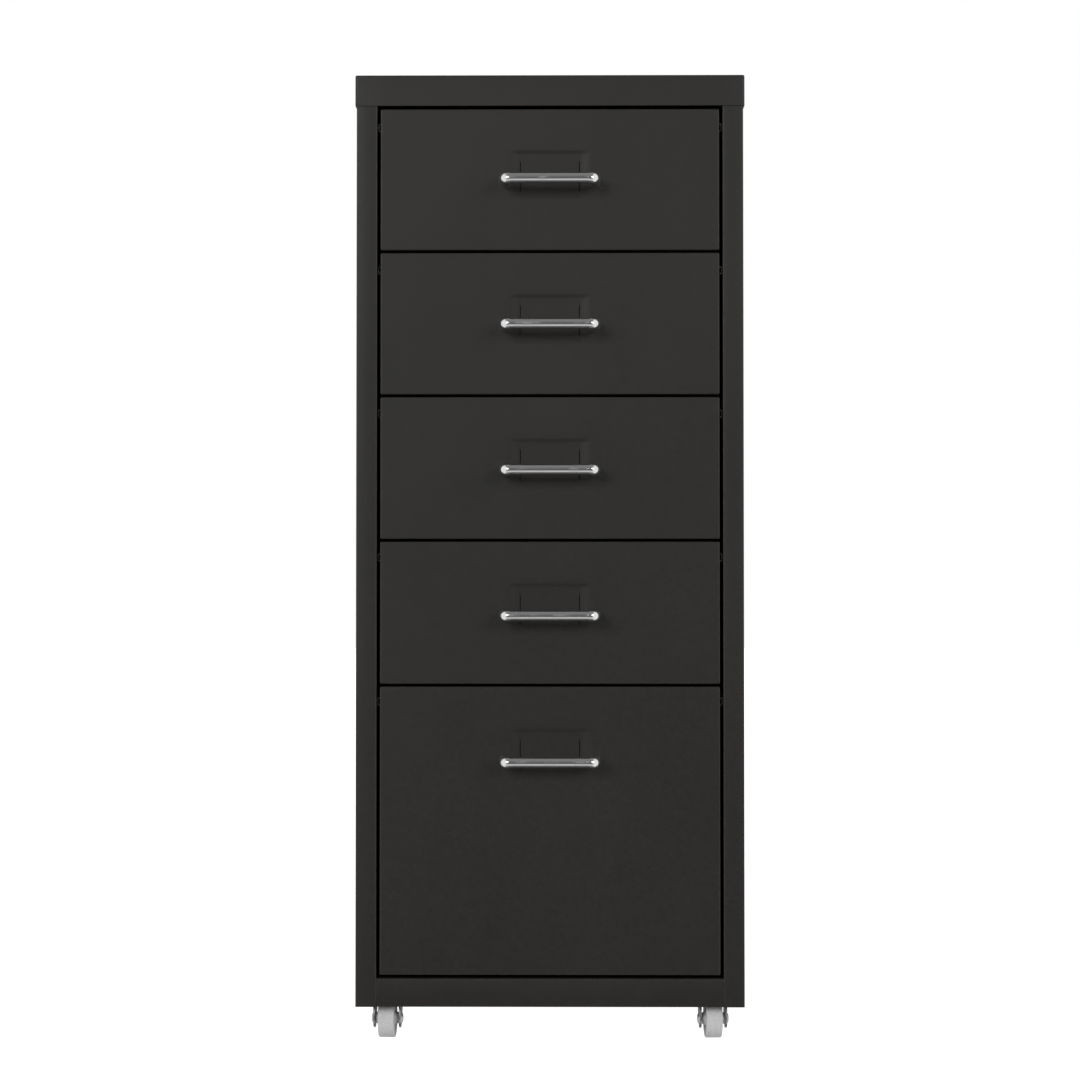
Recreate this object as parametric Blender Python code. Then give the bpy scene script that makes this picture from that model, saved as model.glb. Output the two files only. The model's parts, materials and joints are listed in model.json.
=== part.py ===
"""A steel chest of drawers on casters: four shallow drawers over one deep drawer.

Metres, +Z up, front towards -Y. The origin is on the floor, in the middle of the chest's overall box,
handles included. A sheet-metal piece is drawn as the outer skin of a flat blank whose edges are extruded
into flanges, and a Solidify modifier gives it its thickness inwards. A round piece is a stack of rings.
"""

import math

import bmesh
import bpy
from mathutils import Matrix, Vector

# ---------------------------------------------------------------- overall sizes
WIDTH = 0.280  # over the cap
DEPTH = 0.430  # from the handles to the cap's rear skirt
HEIGHT = 0.6922  # from the floor to the top of the cap
SHALLOW_DRAWERS = 4  # above the deep one, which takes the height of two

# ---------------------------------------------------------------- sheet and fits
CASE_SHEET = 0.0007  # cap, sides, back and base
DRAWER_SHEET = 0.0006  # drawer fronts and trays
RUNNER_SHEET = 0.0010
FIT = 0.0003  # gap left between pieces that touch

# ---------------------------------------------------------------- case
CAP_SKIRT = 0.022  # the cap's turned-down edge
CAP_HEM = 0.008  # return along the foot of its front skirt
SIDE_FLANGE = 0.012  # top and rear edges of a side, turned inwards
POST_WIDTH = 0.015  # front edge of a side, turned inwards
POST_RETURN = 0.010  # and turned back behind itself
BACK_HEM = 0.008  # top and bottom edges of the back, turned forwards
PLINTH_HEIGHT = 0.0205  # the base's front edge, turned down
PLINTH_HEM = 0.006  # return along its foot
BASE_UPSTAND = 0.012  # side and rear edges of the base, turned up

# ---------------------------------------------------------------- drawers
SIDE_GAP = 0.0022  # drawer front to post
TOP_GAP = 0.0023  # cap skirt to the top drawer front
BOTTOM_GAP = 0.0022  # deep drawer front to the base
FRONT_GAP = 0.0018  # one drawer front to the next
FRONT_RETURN = 0.014  # edges of a drawer front, turned back
TRAY_INSET = 0.010  # side of a tray to the edge of its front, which the lip fills
TRAY_RAISE = 0.0045  # underside of a tray above the foot of its front
LIP_DROP = 0.013  # underside of a tray's lip below the top of its front
TRAY_BEHIND = 0.017  # tray to the back panel
TRAY_SILL = 0.012  # low front wall of a tray
TRAY_CORNER = 0.008  # full-height front corners of a tray
STOP_TAB = 0.0024  # turned-up end of a lip, which the runner's stop catches
TAB_INSET = 0.003  # tab to the side of the tray

# ---------------------------------------------------------------- label recess in each drawer front
HANDLE_BELOW_TOP = 0.0529  # handle screws below the top of a drawer front
RECESS_WIDTH = 0.055
RECESS_TOP = 0.0222  # above the handle screws
RECESS_BOTTOM = 0.0137  # below the handle screws
RECESS_DEPTH = 0.0010
RECESS_SLOPE = 0.0015  # run of the pressed wall
SLOT_SPACING = 0.0425
SLOT_WIDTH = 0.0006
SLOT_TOP = 0.0150  # above the handle screws
SLOT_BOTTOM = 0.0065  # below the handle screws

# ---------------------------------------------------------------- runners
LIP_CLEARANCE = 0.0007  # lip to the runner's web
LEDGE_CLEARANCE = 0.0010  # ledge to the side of the tray
KEEPER_GAP = 0.0032  # lip to the keeper above it
KEEPER_WIDTH = 0.007
KEEPER_LENGTH = 0.080  # a drawer stays this far in its runners when it is open
RUNNER_BEHIND = 0.003  # runner past the back of the tray
RUNNER_AHEAD = 0.0015  # drawer front to the runner
RUNNER_FOOT = 0.014

# ---------------------------------------------------------------- handles and their screws
HANDLE_SPACING = 0.064  # between its two screws
HANDLE_REACH = 0.028  # in front of the drawer
HANDLE_WIRE = 0.0075  # diameter
HANDLE_BEND = 0.0048  # radius of the wire's middle line
SCREW_SHANK = 0.0019  # radius
SCREW_DEPTH = 0.0080  # into the handle
SCREW_HEAD = 0.0038  # radius
SCREW_HEAD_HEIGHT = 0.0024
SCREW_CROWN = 0.0023  # radius of the flat top of its head

# ---------------------------------------------------------------- casters
WHEEL_RADIUS = 0.014
WHEEL_WIDTH = 0.0118
WHEEL_SHOULDER = 0.0012
HUB_RADIUS = 0.0040
HUB_PROUD = 0.0023  # each side of the wheel
HUB_PLAY = 0.0004  # hub to fork
AXLE_RADIUS = 0.0015
AXLE_PLAY = 0.0001  # wheel on its axle
AXLE_HEAD = 0.0034  # radius
AXLE_HEAD_HEIGHT = 0.0008
TRAIL = 0.009  # axle ahead of the swivel axis
FORK_SHEET = 0.0012
FORK_TOE = 0.0070  # radius of a leg's end, round the axle
CROWN_HALF = 0.010  # half the crown's length
CROWN_GAP = 0.0030  # wheel to crown
RACE_RADIUS = 0.0088
RACE_HEIGHT = 0.0045
COLLAR_FLATS = 0.013  # hexagonal collar, across its flats
COLLAR_HEIGHT = 0.0072
STEM_RADIUS = 0.0030
STEM_HEAD = 0.0055  # radius of the riveted end under the crown
STEM_HEAD_HEIGHT = 0.0012
NUT_FLATS = 0.010
NUT_HEIGHT = 0.0040
STEM_PROUD = 0.0006  # above the nut
SWING_CLEARANCE = 0.0026
REST_SWIVEL = {"front_left": -2.5, "front_right": 3.0, "rear_left": 15.0, "rear_right": -20.0}  # degrees

# ---------------------------------------------------------------- facets
ROUND = 24  # sides of a round piece
WIRE_ROUND = 12
WIRE_BEND_STEPS = 5
TOE_STEPS = 8
SMOOTH_UNDER = 35.0  # degrees between faces that shade as one surface
CUT_PAST = 0.005  # a cutter reaches this far past what it cuts

# ---------------------------------------------------------------- planes that the pieces share
CAP_LAP = CASE_SHEET + FIT
REAR = DEPTH / 2
FACE = -DEPTH / 2 + HANDLE_REACH  # posts, plinth and drawer fronts
CAP_FRONT = FACE - CAP_LAP
SIDE_OUT = WIDTH / 2 - CAP_LAP
SIDE_IN = SIDE_OUT - CASE_SHEET
SIDE_TOP = HEIGHT - CAP_LAP
SIDE_REAR = REAR - CAP_LAP
POST_IN = SIDE_OUT - POST_WIDTH
BACK_OUT = SIDE_REAR - CAP_LAP
BACK_IN = BACK_OUT - CASE_SHEET

AXLE_Z = WHEEL_RADIUS * math.cos(math.pi / ROUND)  # a wheel stands on one of its flats
CROWN_UNDER = AXLE_Z + WHEEL_RADIUS + CROWN_GAP
CROWN_TOP = CROWN_UNDER + FORK_SHEET
CASTER_TOP = CROWN_TOP + FIT + RACE_HEIGHT + COLLAR_HEIGHT
BASE_TOP = CASTER_TOP + FIT + CASE_SHEET
CASE_BOTTOM = BASE_TOP - PLINTH_HEIGHT

OPENING_TOP = HEIGHT - CAP_SKIRT
FRONT_HALF = POST_IN - SIDE_GAP
SHALLOW_HEIGHT = (
    OPENING_TOP - TOP_GAP - BASE_TOP - BOTTOM_GAP - (SHALLOW_DRAWERS + 1) * FRONT_GAP
) / (SHALLOW_DRAWERS + 2)
DEEP_HEIGHT = 2 * SHALLOW_HEIGHT + FRONT_GAP
TRAY_HALF = FRONT_HALF - TRAY_INSET
TRAY_FRONT = FACE + DRAWER_SHEET + FIT
TRAY_REAR = BACK_IN - TRAY_BEHIND
LIP_FRONT = FACE + FRONT_RETURN + RUNNER_AHEAD

RUNNER_FRONT = LIP_FRONT
RUNNER_REAR = TRAY_REAR + RUNNER_BEHIND
WEB_IN = FRONT_HALF + LIP_CLEARANCE
WEB_OUT = WEB_IN + RUNNER_SHEET
STOP_Y = RUNNER_FRONT + KEEPER_LENGTH

FORK_IN = WHEEL_WIDTH / 2 + HUB_PROUD + HUB_PLAY
FORK_OUT = FORK_IN + FORK_SHEET
CASE_ABOVE_AXLE = min(CASE_BOTTOM - AXLE_Z, WHEEL_RADIUS)
WHEEL_INSIDE = math.sqrt(WHEEL_RADIUS**2 - CASE_ABOVE_AXLE**2)  # half its length where it enters the case
WHEEL_SWEEP = math.hypot(TRAIL + WHEEL_INSIDE, WHEEL_WIDTH / 2)
FORK_SWEEP = math.hypot(TRAIL + FORK_TOE, FORK_OUT)
SWEEP = max(WHEEL_SWEEP, FORK_SWEEP)
CASTER_X = SIDE_IN - SWEEP - SWING_CLEARANCE
CASTER_FRONT_Y = FACE + POST_RETURN + SWEEP + SWING_CLEARANCE
CASTER_REAR_Y = BACK_IN - BACK_HEM - SWEEP - SWING_CLEARANCE

COLOURS = {  # linear base colour, roughness, metallic
    "powder_coat": ((0.030, 0.029, 0.029), 0.55, 0.0),
    "chrome": ((0.75, 0.75, 0.76), 0.12, 1.0),
    "zinc": ((0.55, 0.57, 0.58), 0.35, 1.0),
    "wheel_plastic": ((0.62, 0.62, 0.61), 0.45, 0.0),
}


# ---------------------------------------------------------------- scene and materials
def clear_scene():
    for obj in list(bpy.data.objects):
        bpy.data.objects.remove(obj, do_unlink=True)


def make_materials():
    made = {}
    for name, (colour, roughness, metallic) in COLOURS.items():
        mat = bpy.data.materials.new(name)
        mat.use_nodes = True
        shader = mat.node_tree.nodes["Principled BSDF"]
        shader.inputs["Base Color"].default_value = (*colour, 1.0)
        shader.inputs["Roughness"].default_value = roughness
        shader.inputs["Metallic"].default_value = metallic
        made[name] = mat
    return made


def empty(name, location, turn=0.0, parent=None):
    """A frame for pieces that move together, turned about Z by so many degrees."""
    obj = bpy.data.objects.new(name, None)
    obj.location = location
    obj.rotation_euler = (0.0, 0.0, math.radians(turn))
    obj.parent = parent
    bpy.context.scene.collection.objects.link(obj)
    return obj


def place(name, mesh, material=None, parent=None, location=(0.0, 0.0, 0.0)):
    obj = bpy.data.objects.new(name, mesh)
    obj.parent = parent
    obj.location = location
    bpy.context.scene.collection.objects.link(obj)
    if material is not None and not mesh.materials:
        mesh.materials.append(material)
    return obj


def to_mesh(name, bm):
    mesh = bpy.data.meshes.new(name)
    bm.to_mesh(mesh)
    bm.free()
    return mesh


# ---------------------------------------------------------------- sheet metal
def blank(corners, outward):
    """A flat four-sided blank whose outer face looks along outward."""
    bm = bmesh.new()
    face = bm.faces.new([bm.verts.new(c) for c in corners])
    face.normal_update()
    if face.normal.dot(Vector(outward)) < 0:
        face.normal_flip()
    return bm


def box_blank(plane, low, high, outward):
    """A blank square to the axes. plane is (axis, place); low and high are its corners on the other two."""
    axis, at = plane
    corners = []
    for a, b in ((low[0], low[1]), (high[0], low[1]), (high[0], high[1]), (low[0], high[1])):
        point = [a, b]
        point.insert(axis, at)
        corners.append(point)
    return blank(corners, outward)


def score(bm, axis, at):
    """Divides the whole blank along one plane, so that a flange can start or stop there."""
    normal = [0.0, 0.0, 0.0]
    normal[axis] = 1.0
    point = [0.0, 0.0, 0.0]
    point[axis] = at
    geometry = bm.verts[:] + bm.edges[:] + bm.faces[:]
    bmesh.ops.bisect_plane(bm, geom=geometry, dist=1e-6, plane_co=point, plane_no=normal)


def open_edges(bm, *tests):
    """The blank's free edges whose ends both pass one of the tests."""
    found = []
    for edge in bm.edges:
        if edge.is_boundary and any(all(test(v.co) for v in edge.verts) for test in tests):
            found.append(edge)
    return found


def near(axis, at):
    """A test for points on one plane."""
    return lambda co: abs(co[axis] - at) < 1e-6


def both(*tests):
    return lambda co: all(test(co) for test in tests)


def between(axis, low, high):
    return lambda co: low - 1e-6 < co[axis] < high + 1e-6


def flange(bm, edges, move):
    """Turns edges of the blank: extrudes them by move."""
    made = bmesh.ops.extrude_edge_only(bm, edges=edges)["geom"]
    verts = [g for g in made if isinstance(g, bmesh.types.BMVert)]
    bmesh.ops.translate(bm, vec=move, verts=verts)


def mirrored(bm):
    """The same piece for the other hand."""
    bmesh.ops.scale(bm, vec=(-1.0, 1.0, 1.0), verts=bm.verts)
    bmesh.ops.reverse_faces(bm, faces=bm.faces)
    return bm


def thicken(obj, thickness):
    solid = obj.modifiers.new("thickness", "SOLIDIFY")
    solid.thickness = thickness
    solid.offset = -1.0
    solid.use_even_offset = True
    solid.use_quality_normals = True
    return obj


def cut(obj, cutter):
    tool = obj.modifiers.new("cut", "BOOLEAN")
    tool.operation = "DIFFERENCE"
    tool.solver = "EXACT"
    tool.object = cutter


def as_cutter(obj):
    obj.hide_render = True
    obj.display_type = "WIRE"
    return obj


# ---------------------------------------------------------------- round pieces
def outline_radius(angle, radius, sides):
    """Radius at an angle of a circle, or of a hexagon with that distance from centre to flat."""
    if sides == "round":
        return radius
    sixth = math.pi / 3
    return radius / math.cos(angle % sixth - sixth / 2)


def ring_body(stations, segments=ROUND, closed=False):
    """Skins a row of rings. A station is (frame, radius, "round" or "hex"), and its ring lies in the frame's
    XY plane. An open row is capped at both ends, and a closed one joins its last ring to its first."""
    bm = bmesh.new()
    rings = []
    for frame, radius, sides in stations:
        ring = []
        for k in range(segments):
            angle = 2 * math.pi * (k + 0.5) / segments
            r = outline_radius(angle, radius, sides)
            point = Vector((r * math.cos(angle), r * math.sin(angle), 0.0))
            ring.append(bm.verts.new(frame @ point))
        rings.append(ring)
    pairs = list(zip(rings, rings[1:])) + ([(rings[-1], rings[0])] if closed else [])
    for a, b in pairs:
        for k in range(segments):
            n = (k + 1) % segments
            bm.faces.new((a[k], a[n], b[n], b[k]))
    if not closed:
        bm.faces.new(rings[0])
        bm.faces.new(rings[-1])
    bmesh.ops.recalc_face_normals(bm, faces=bm.faces)
    return bm


def turned(axis, profile, closed=False, segments=ROUND):
    """A turned piece about an axis through the origin, from (place along the axis, radius, outline) steps."""
    turn = {
        "x": Matrix.Rotation(math.pi / 2, 4, "Y"),
        "y": Matrix.Rotation(-math.pi / 2, 4, "X"),
        "z": Matrix.Identity(4),
    }[axis]
    stations = []
    for at, radius, sides in profile:
        stations.append((turn @ Matrix.Translation((0, 0, at)), radius, sides))
    return ring_body(stations, segments, closed)


def smooth(mesh):
    mesh.shade_smooth()
    mesh.set_sharp_from_angle(angle=math.radians(SMOOTH_UNDER))
    return mesh


# ---------------------------------------------------------------- case
def make_cap(mats):
    """A shallow lid: its skirts lap over the sides, the back and the posts."""
    half = WIDTH / 2
    bm = box_blank((2, HEIGHT), (-half, CAP_FRONT), (half, REAR), (0, 0, 1))
    score(bm, 0, -(POST_IN - FIT))
    score(bm, 0, POST_IN - FIT)
    flange(bm, open_edges(bm, lambda co: True), (0, 0, -CAP_SKIRT))
    hem = both(near(1, CAP_FRONT), near(2, OPENING_TOP), between(0, -POST_IN, POST_IN))
    flange(bm, open_edges(bm, hem), (0, CAP_HEM, 0))
    thicken(place("top_cap", to_mesh("top_cap", bm), mats["powder_coat"]), CASE_SHEET)


def side_blank():
    """The right-hand side, with its front edge folded into a post."""
    bm = box_blank((0, SIDE_OUT), (FACE, CASE_BOTTOM), (SIDE_REAR, SIDE_TOP), (1, 0, 0))
    edges = open_edges(bm, near(1, FACE), near(1, SIDE_REAR), near(2, SIDE_TOP))
    flange(bm, edges, (-SIDE_FLANGE, 0, 0))
    post_edge = both(near(0, SIDE_OUT - SIDE_FLANGE), near(1, FACE))
    flange(bm, open_edges(bm, post_edge), (SIDE_FLANGE - POST_WIDTH, 0, 0))
    flange(bm, open_edges(bm, near(0, POST_IN)), (0, POST_RETURN, 0))
    return bm


def make_sides(mats):
    right = to_mesh("side_right", side_blank())
    left = to_mesh("side_left", mirrored(side_blank()))
    thicken(place("side_right", right, mats["powder_coat"]), CASE_SHEET)
    thicken(place("side_left", left, mats["powder_coat"]), CASE_SHEET)


def make_back(mats):
    """The back lies inside the sides' rear flanges."""
    half = SIDE_IN - FIT
    top = SIDE_TOP - CAP_LAP
    bm = box_blank((1, BACK_OUT), (-half, CASE_BOTTOM), (half, top), (0, 1, 0))
    flange(bm, open_edges(bm, near(2, top), near(2, CASE_BOTTOM)), (0, -BACK_HEM, 0))
    thicken(place("back_panel", to_mesh("back_panel", bm), mats["powder_coat"]), CASE_SHEET)


def make_base(mats, caster_places):
    """The floor of the case, notched round the posts. Its front edge is the plinth. The blank's outer face
    looks up from the floor and forwards from the plinth, so the upstands thicken away from the middle."""
    wide = SIDE_IN - FIT - CASE_SHEET
    narrow = POST_IN - FIT
    behind_posts = FACE + POST_RETURN + FIT
    rear = BACK_IN - FIT - CASE_SHEET
    bm = box_blank((2, BASE_TOP), (-narrow, FACE), (narrow, rear), (0, 0, 1))
    score(bm, 1, behind_posts)
    for side in (-1, 1):
        edge = both(near(0, side * narrow), between(1, behind_posts, rear))
        flange(bm, open_edges(bm, edge), (side * (wide - narrow), 0, 0))
    upstand = open_edges(bm, near(0, wide), near(0, -wide), near(1, rear))
    flange(bm, upstand, (0, 0, BASE_UPSTAND))
    flange(bm, open_edges(bm, near(1, FACE)), (0, 0, -PLINTH_HEIGHT))
    flange(bm, open_edges(bm, near(2, CASE_BOTTOM)), (0, PLINTH_HEM, 0))
    base = place("base_panel", to_mesh("base_panel", bm), mats["powder_coat"])
    thicken(base, CASE_SHEET)
    low, high = CASTER_TOP - CUT_PAST, BASE_TOP + CUT_PAST
    hole = [(low, STEM_RADIUS + FIT, "round"), (high, STEM_RADIUS + FIT, "round")]
    for corner, (x, y) in caster_places.items():
        cutter = place(f"{corner}_stem_hole", to_mesh("stem_hole", turned("z", hole)), location=(x, y, 0))
        cut(base, as_cutter(cutter))


# ---------------------------------------------------------------- runners
def runner_blank(tray_height):
    """The right-hand runner of a tray, from the foot of its drawer front: a ledge under the tray's lip, a
    keeper over the front of it that ends in a stop, and two feet that reach out to the side of the case. The
    feet fold back over the web's outer face, so they thicken towards the side."""
    ledge = TRAY_RAISE + tray_height - FIT
    keeper = ledge + FIT + DRAWER_SHEET + KEEPER_GAP
    bottom = ledge - RUNNER_SHEET
    top = keeper + RUNNER_SHEET
    bm = box_blank((0, WEB_OUT), (RUNNER_FRONT, bottom), (RUNNER_REAR, top), (1, 0, 0))
    for at in (RUNNER_FRONT + RUNNER_AHEAD, STOP_Y, RUNNER_REAR - RUNNER_AHEAD):
        score(bm, 1, at)
    ledge_span = between(1, RUNNER_FRONT + RUNNER_AHEAD, RUNNER_REAR - RUNNER_AHEAD)
    under = both(near(2, bottom), ledge_span)
    over = both(near(2, top), between(1, RUNNER_FRONT + RUNNER_AHEAD, STOP_Y))
    flange(bm, open_edges(bm, under), (TRAY_HALF + LEDGE_CLEARANCE - WEB_OUT, 0, 0))
    flange(bm, open_edges(bm, over), (-KEEPER_WIDTH, 0, 0))
    stop = both(near(1, STOP_Y), near(2, top))
    flange(bm, open_edges(bm, stop), (0, 0, -RUNNER_SHEET - STOP_TAB))
    foot = SIDE_IN - FIT - RUNNER_SHEET
    for end, along in ((RUNNER_FRONT, 1), (RUNNER_REAR, -1)):
        flange(bm, open_edges(bm, both(near(1, end), near(0, WEB_OUT))), (foot - WEB_OUT, 0, 0))
        flange(bm, open_edges(bm, both(near(1, end), near(0, foot))), (0, along * RUNNER_FOOT, 0))
    return bm


def make_runners(mats, number, foot, meshes):
    for hand, mesh in meshes.items():
        runner = place(f"runner_{hand}_{number}", mesh, mats["zinc"], location=(0, 0, foot))
        thicken(runner, RUNNER_SHEET)


# ---------------------------------------------------------------- drawers, from the foot of the front
def front_blank(height):
    """A drawer front with its label recess, its edges turned back."""
    bm = box_blank((1, 0.0), (-FRONT_HALF, 0.0), (FRONT_HALF, height), (0, -1, 0))
    centre = height - HANDLE_BELOW_TOP
    low, high = centre - RECESS_BOTTOM, centre + RECESS_TOP
    for side in (-1, 1):
        score(bm, 0, side * RECESS_WIDTH / 2)
    score(bm, 2, low)
    score(bm, 2, high)
    middle = (0.0, (low + high) / 2)
    pressed = [
        f
        for f in bm.faces
        if math.dist((f.calc_center_median().x, f.calc_center_median().z), middle) < RECESS_SLOPE
    ]
    bmesh.ops.inset_individual(bm, faces=pressed, thickness=RECESS_SLOPE, depth=-RECESS_DEPTH)
    edges = open_edges(bm, near(1, 0.0))
    flange(bm, edges, (0, FRONT_RETURN, 0))
    return bm


def box_mesh(name, low, high):
    bm = bmesh.new()
    bmesh.ops.create_cube(bm, size=1.0)
    size = [b - a for a, b in zip(low, high)]
    bmesh.ops.scale(bm, vec=size, verts=bm.verts)
    bmesh.ops.translate(bm, vec=[(a + b) / 2 for a, b in zip(low, high)], verts=bm.verts)
    return to_mesh(name, bm)


def tray_blank(height, tray_height):
    """A tray that hangs by its two lips. Its front wall is a low sill between two full-height corners."""
    floor = TRAY_RAISE
    top = floor + tray_height
    front, rear = TRAY_FRONT - FACE, TRAY_REAR - FACE
    bm = box_blank((2, floor), (-TRAY_HALF, front), (TRAY_HALF, rear), (0, 0, -1))
    for side in (-1, 1):
        score(bm, 0, side * (TRAY_HALF - TRAY_CORNER))
    flange(bm, open_edges(bm, lambda co: True), (0, 0, TRAY_SILL))
    sill_top = near(2, floor + TRAY_SILL)
    corner_right = both(sill_top, near(1, front), between(0, TRAY_HALF - TRAY_CORNER, TRAY_HALF))
    corner_left = both(sill_top, near(1, front), between(0, -TRAY_HALF, TRAY_CORNER - TRAY_HALF))
    sides = [both(sill_top, near(0, side * TRAY_HALF)) for side in (-1, 1)]
    back = both(sill_top, near(1, rear))
    rising = open_edges(bm, corner_right, corner_left, back, *sides)
    flange(bm, rising, (0, 0, tray_height - TRAY_SILL))
    score(bm, 1, LIP_FRONT - FACE)
    tab_start = TRAY_HALF + TAB_INSET
    outside = TRAY_HALF + TAB_INSET / 2
    for side in (-1, 1):
        for start, end in ((TRAY_HALF, tab_start), (tab_start, FRONT_HALF)):
            lip = both(near(2, top), near(0, side * start), between(1, LIP_FRONT - FACE, rear))
            flange(bm, open_edges(bm, lip), (side * (end - start), 0, 0))
        tab = both(near(2, top), near(1, rear), lambda co, s=side: s * co.x > outside)
        flange(bm, open_edges(bm, tab), (0, 0, DRAWER_SHEET + STOP_TAB))
    return bm


def handle_stations():
    """The bow of wire, from one blind screw bore, out, across and back to the other."""
    half = HANDLE_SPACING / 2
    out = HANDLE_REACH - HANDLE_WIRE / 2
    foot = FIT
    radius, bore = HANDLE_WIRE / 2, SCREW_SHANK + FIT
    bore_depth = foot + SCREW_DEPTH + FIT

    def frame(x, reach, along):
        """A ring at this reach in front of the drawer, square to the wire's direction."""
        direction = Vector((along[0], along[1], 0.0)).normalized()
        side = Vector((0, 0, 1)).cross(direction)
        turn = Matrix((side, Vector((0, 0, 1)), direction)).transposed().to_4x4()
        return Matrix.Translation((x, -reach, 0.0)) @ turn

    bend = []
    for k in range(WIRE_BEND_STEPS + 1):
        angle = math.pi / 2 * k / WIRE_BEND_STEPS
        x = -half + HANDLE_BEND * (1 - math.cos(angle))
        reach = out - HANDLE_BEND * (1 - math.sin(angle))
        bend.append((x, reach, (math.sin(angle), -math.cos(angle))))
    path = bend + [(-x, reach, (u, -v)) for x, reach, (u, v) in reversed(bend)]
    outward, homeward = (0, -1), (0, 1)
    return (
        [(frame(-half, bore_depth, outward), bore, "round")]
        + [(frame(-half, foot, outward), r, "round") for r in (bore, radius)]
        + [(frame(*step), radius, "round") for step in path]
        + [(frame(half, foot, homeward), r, "round") for r in (radius, bore)]
        + [(frame(half, bore_depth, homeward), bore, "round")]
    )


def screw_body():
    """A pan-head screw from inside the drawer: shank forwards, head behind the front's sheet."""
    head = DRAWER_SHEET + FIT
    return turned(
        "y",
        [
            (-FIT - SCREW_DEPTH, SCREW_SHANK, "round"),
            (head, SCREW_SHANK, "round"),
            (head, SCREW_HEAD, "round"),
            (head + SCREW_HEAD_HEIGHT / 2, SCREW_HEAD, "round"),
            (head + SCREW_HEAD_HEIGHT, SCREW_CROWN, "round"),
        ],
        segments=WIRE_ROUND,
    )


def make_drawer(mats, number, foot, kit):
    """Front, tray, handle and two screws of one drawer, on an empty at the foot of its front."""
    home = empty(f"drawer_{number}", (0, FACE, foot))
    centre = kit["height"] - HANDLE_BELOW_TOP
    front = place(f"drawer_{number}_front", kit["front"], mats["powder_coat"], home)
    thicken(front, DRAWER_SHEET)
    for cutter in kit["front_cutters"]:
        copy = place(f"drawer_{number}_{cutter.name}", cutter, parent=home)
        cut(front, as_cutter(copy))
    thicken(place(f"drawer_{number}_tray", kit["tray"], mats["powder_coat"], home), DRAWER_SHEET)
    place(f"drawer_{number}_handle", kit["handle"], mats["chrome"], home, (0, 0, centre))
    for hand, side in (("left", -1), ("right", 1)):
        at = (side * HANDLE_SPACING / 2, 0, centre)
        place(f"drawer_{number}_screw_{hand}", kit["screw"], mats["zinc"], home, at)


def drawer_kit(height):
    """The meshes that drawers of one height share."""
    tray_height = height - TRAY_RAISE - LIP_DROP
    centre = height - HANDLE_BELOW_TOP
    cutters = []
    for side in (-1, 1):
        low = (side * SLOT_SPACING / 2 - SLOT_WIDTH / 2, -CUT_PAST, centre - SLOT_BOTTOM)
        high = (side * SLOT_SPACING / 2 + SLOT_WIDTH / 2, CUT_PAST, centre + SLOT_TOP)
        cutters.append(box_mesh("slot_left" if side < 0 else "slot_right", low, high))
        bore = SCREW_SHANK + FIT
        hole = turned("y", [(-CUT_PAST, bore, "round"), (CUT_PAST, bore, "round")], segments=WIRE_ROUND)
        bmesh.ops.translate(hole, vec=(side * HANDLE_SPACING / 2, 0, centre), verts=hole.verts)
        cutters.append(to_mesh("hole_left" if side < 0 else "hole_right", hole))
    return {
        "height": height,
        "front": to_mesh("front", front_blank(height)),
        "front_cutters": cutters,
        "tray": to_mesh("tray", tray_blank(height, tray_height)),
        "handle": smooth(to_mesh("handle", ring_body(handle_stations(), WIRE_ROUND))),
        "screw": smooth(to_mesh("screw", screw_body())),
        "runners": {
            "right": to_mesh("runner_right", runner_blank(tray_height)),
            "left": to_mesh("runner_left", mirrored(runner_blank(tray_height))),
        },
    }


# ---------------------------------------------------------------- casters, from under the swivel axis
def wheel_body():
    half = WHEEL_WIDTH / 2
    hub = half + HUB_PROUD
    bore = AXLE_RADIUS + AXLE_PLAY
    shoulder = WHEEL_RADIUS - WHEEL_SHOULDER
    profile = [
        (-hub, bore, "round"),
        (-hub, HUB_RADIUS, "round"),
        (-half, HUB_RADIUS, "round"),
        (-half, shoulder, "round"),
        (WHEEL_SHOULDER - half, WHEEL_RADIUS, "round"),
        (half - WHEEL_SHOULDER, WHEEL_RADIUS, "round"),
        (half, shoulder, "round"),
        (half, HUB_RADIUS, "round"),
        (hub, HUB_RADIUS, "round"),
        (hub, bore, "round"),
    ]
    return turned("x", profile, closed=True)


def axle_body():
    """A rivet through the fork, with a head outside each leg."""
    seat = FORK_OUT + FIT
    end = seat + AXLE_HEAD_HEIGHT
    return turned(
        "x",
        [
            (-end, AXLE_HEAD, "round"),
            (-seat, AXLE_HEAD, "round"),
            (-seat, AXLE_RADIUS, "round"),
            (seat, AXLE_RADIUS, "round"),
            (seat, AXLE_HEAD, "round"),
            (end, AXLE_HEAD, "round"),
        ],
    )


def fork_outline():
    """The fork from the side, in Y and Z: a flat crown round the swivel axis, and a leg down to the axle."""
    points = [(CROWN_HALF, CROWN_UNDER), (CROWN_HALF, CROWN_TOP), (-CROWN_HALF, CROWN_TOP)]
    points.append((-TRAIL - FORK_TOE, CROWN_UNDER))
    for k in range(TOE_STEPS + 1):
        angle = math.pi + math.pi * k / TOE_STEPS
        points.append((-TRAIL + FORK_TOE * math.cos(angle), AXLE_Z + FORK_TOE * math.sin(angle)))
    return points


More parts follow.
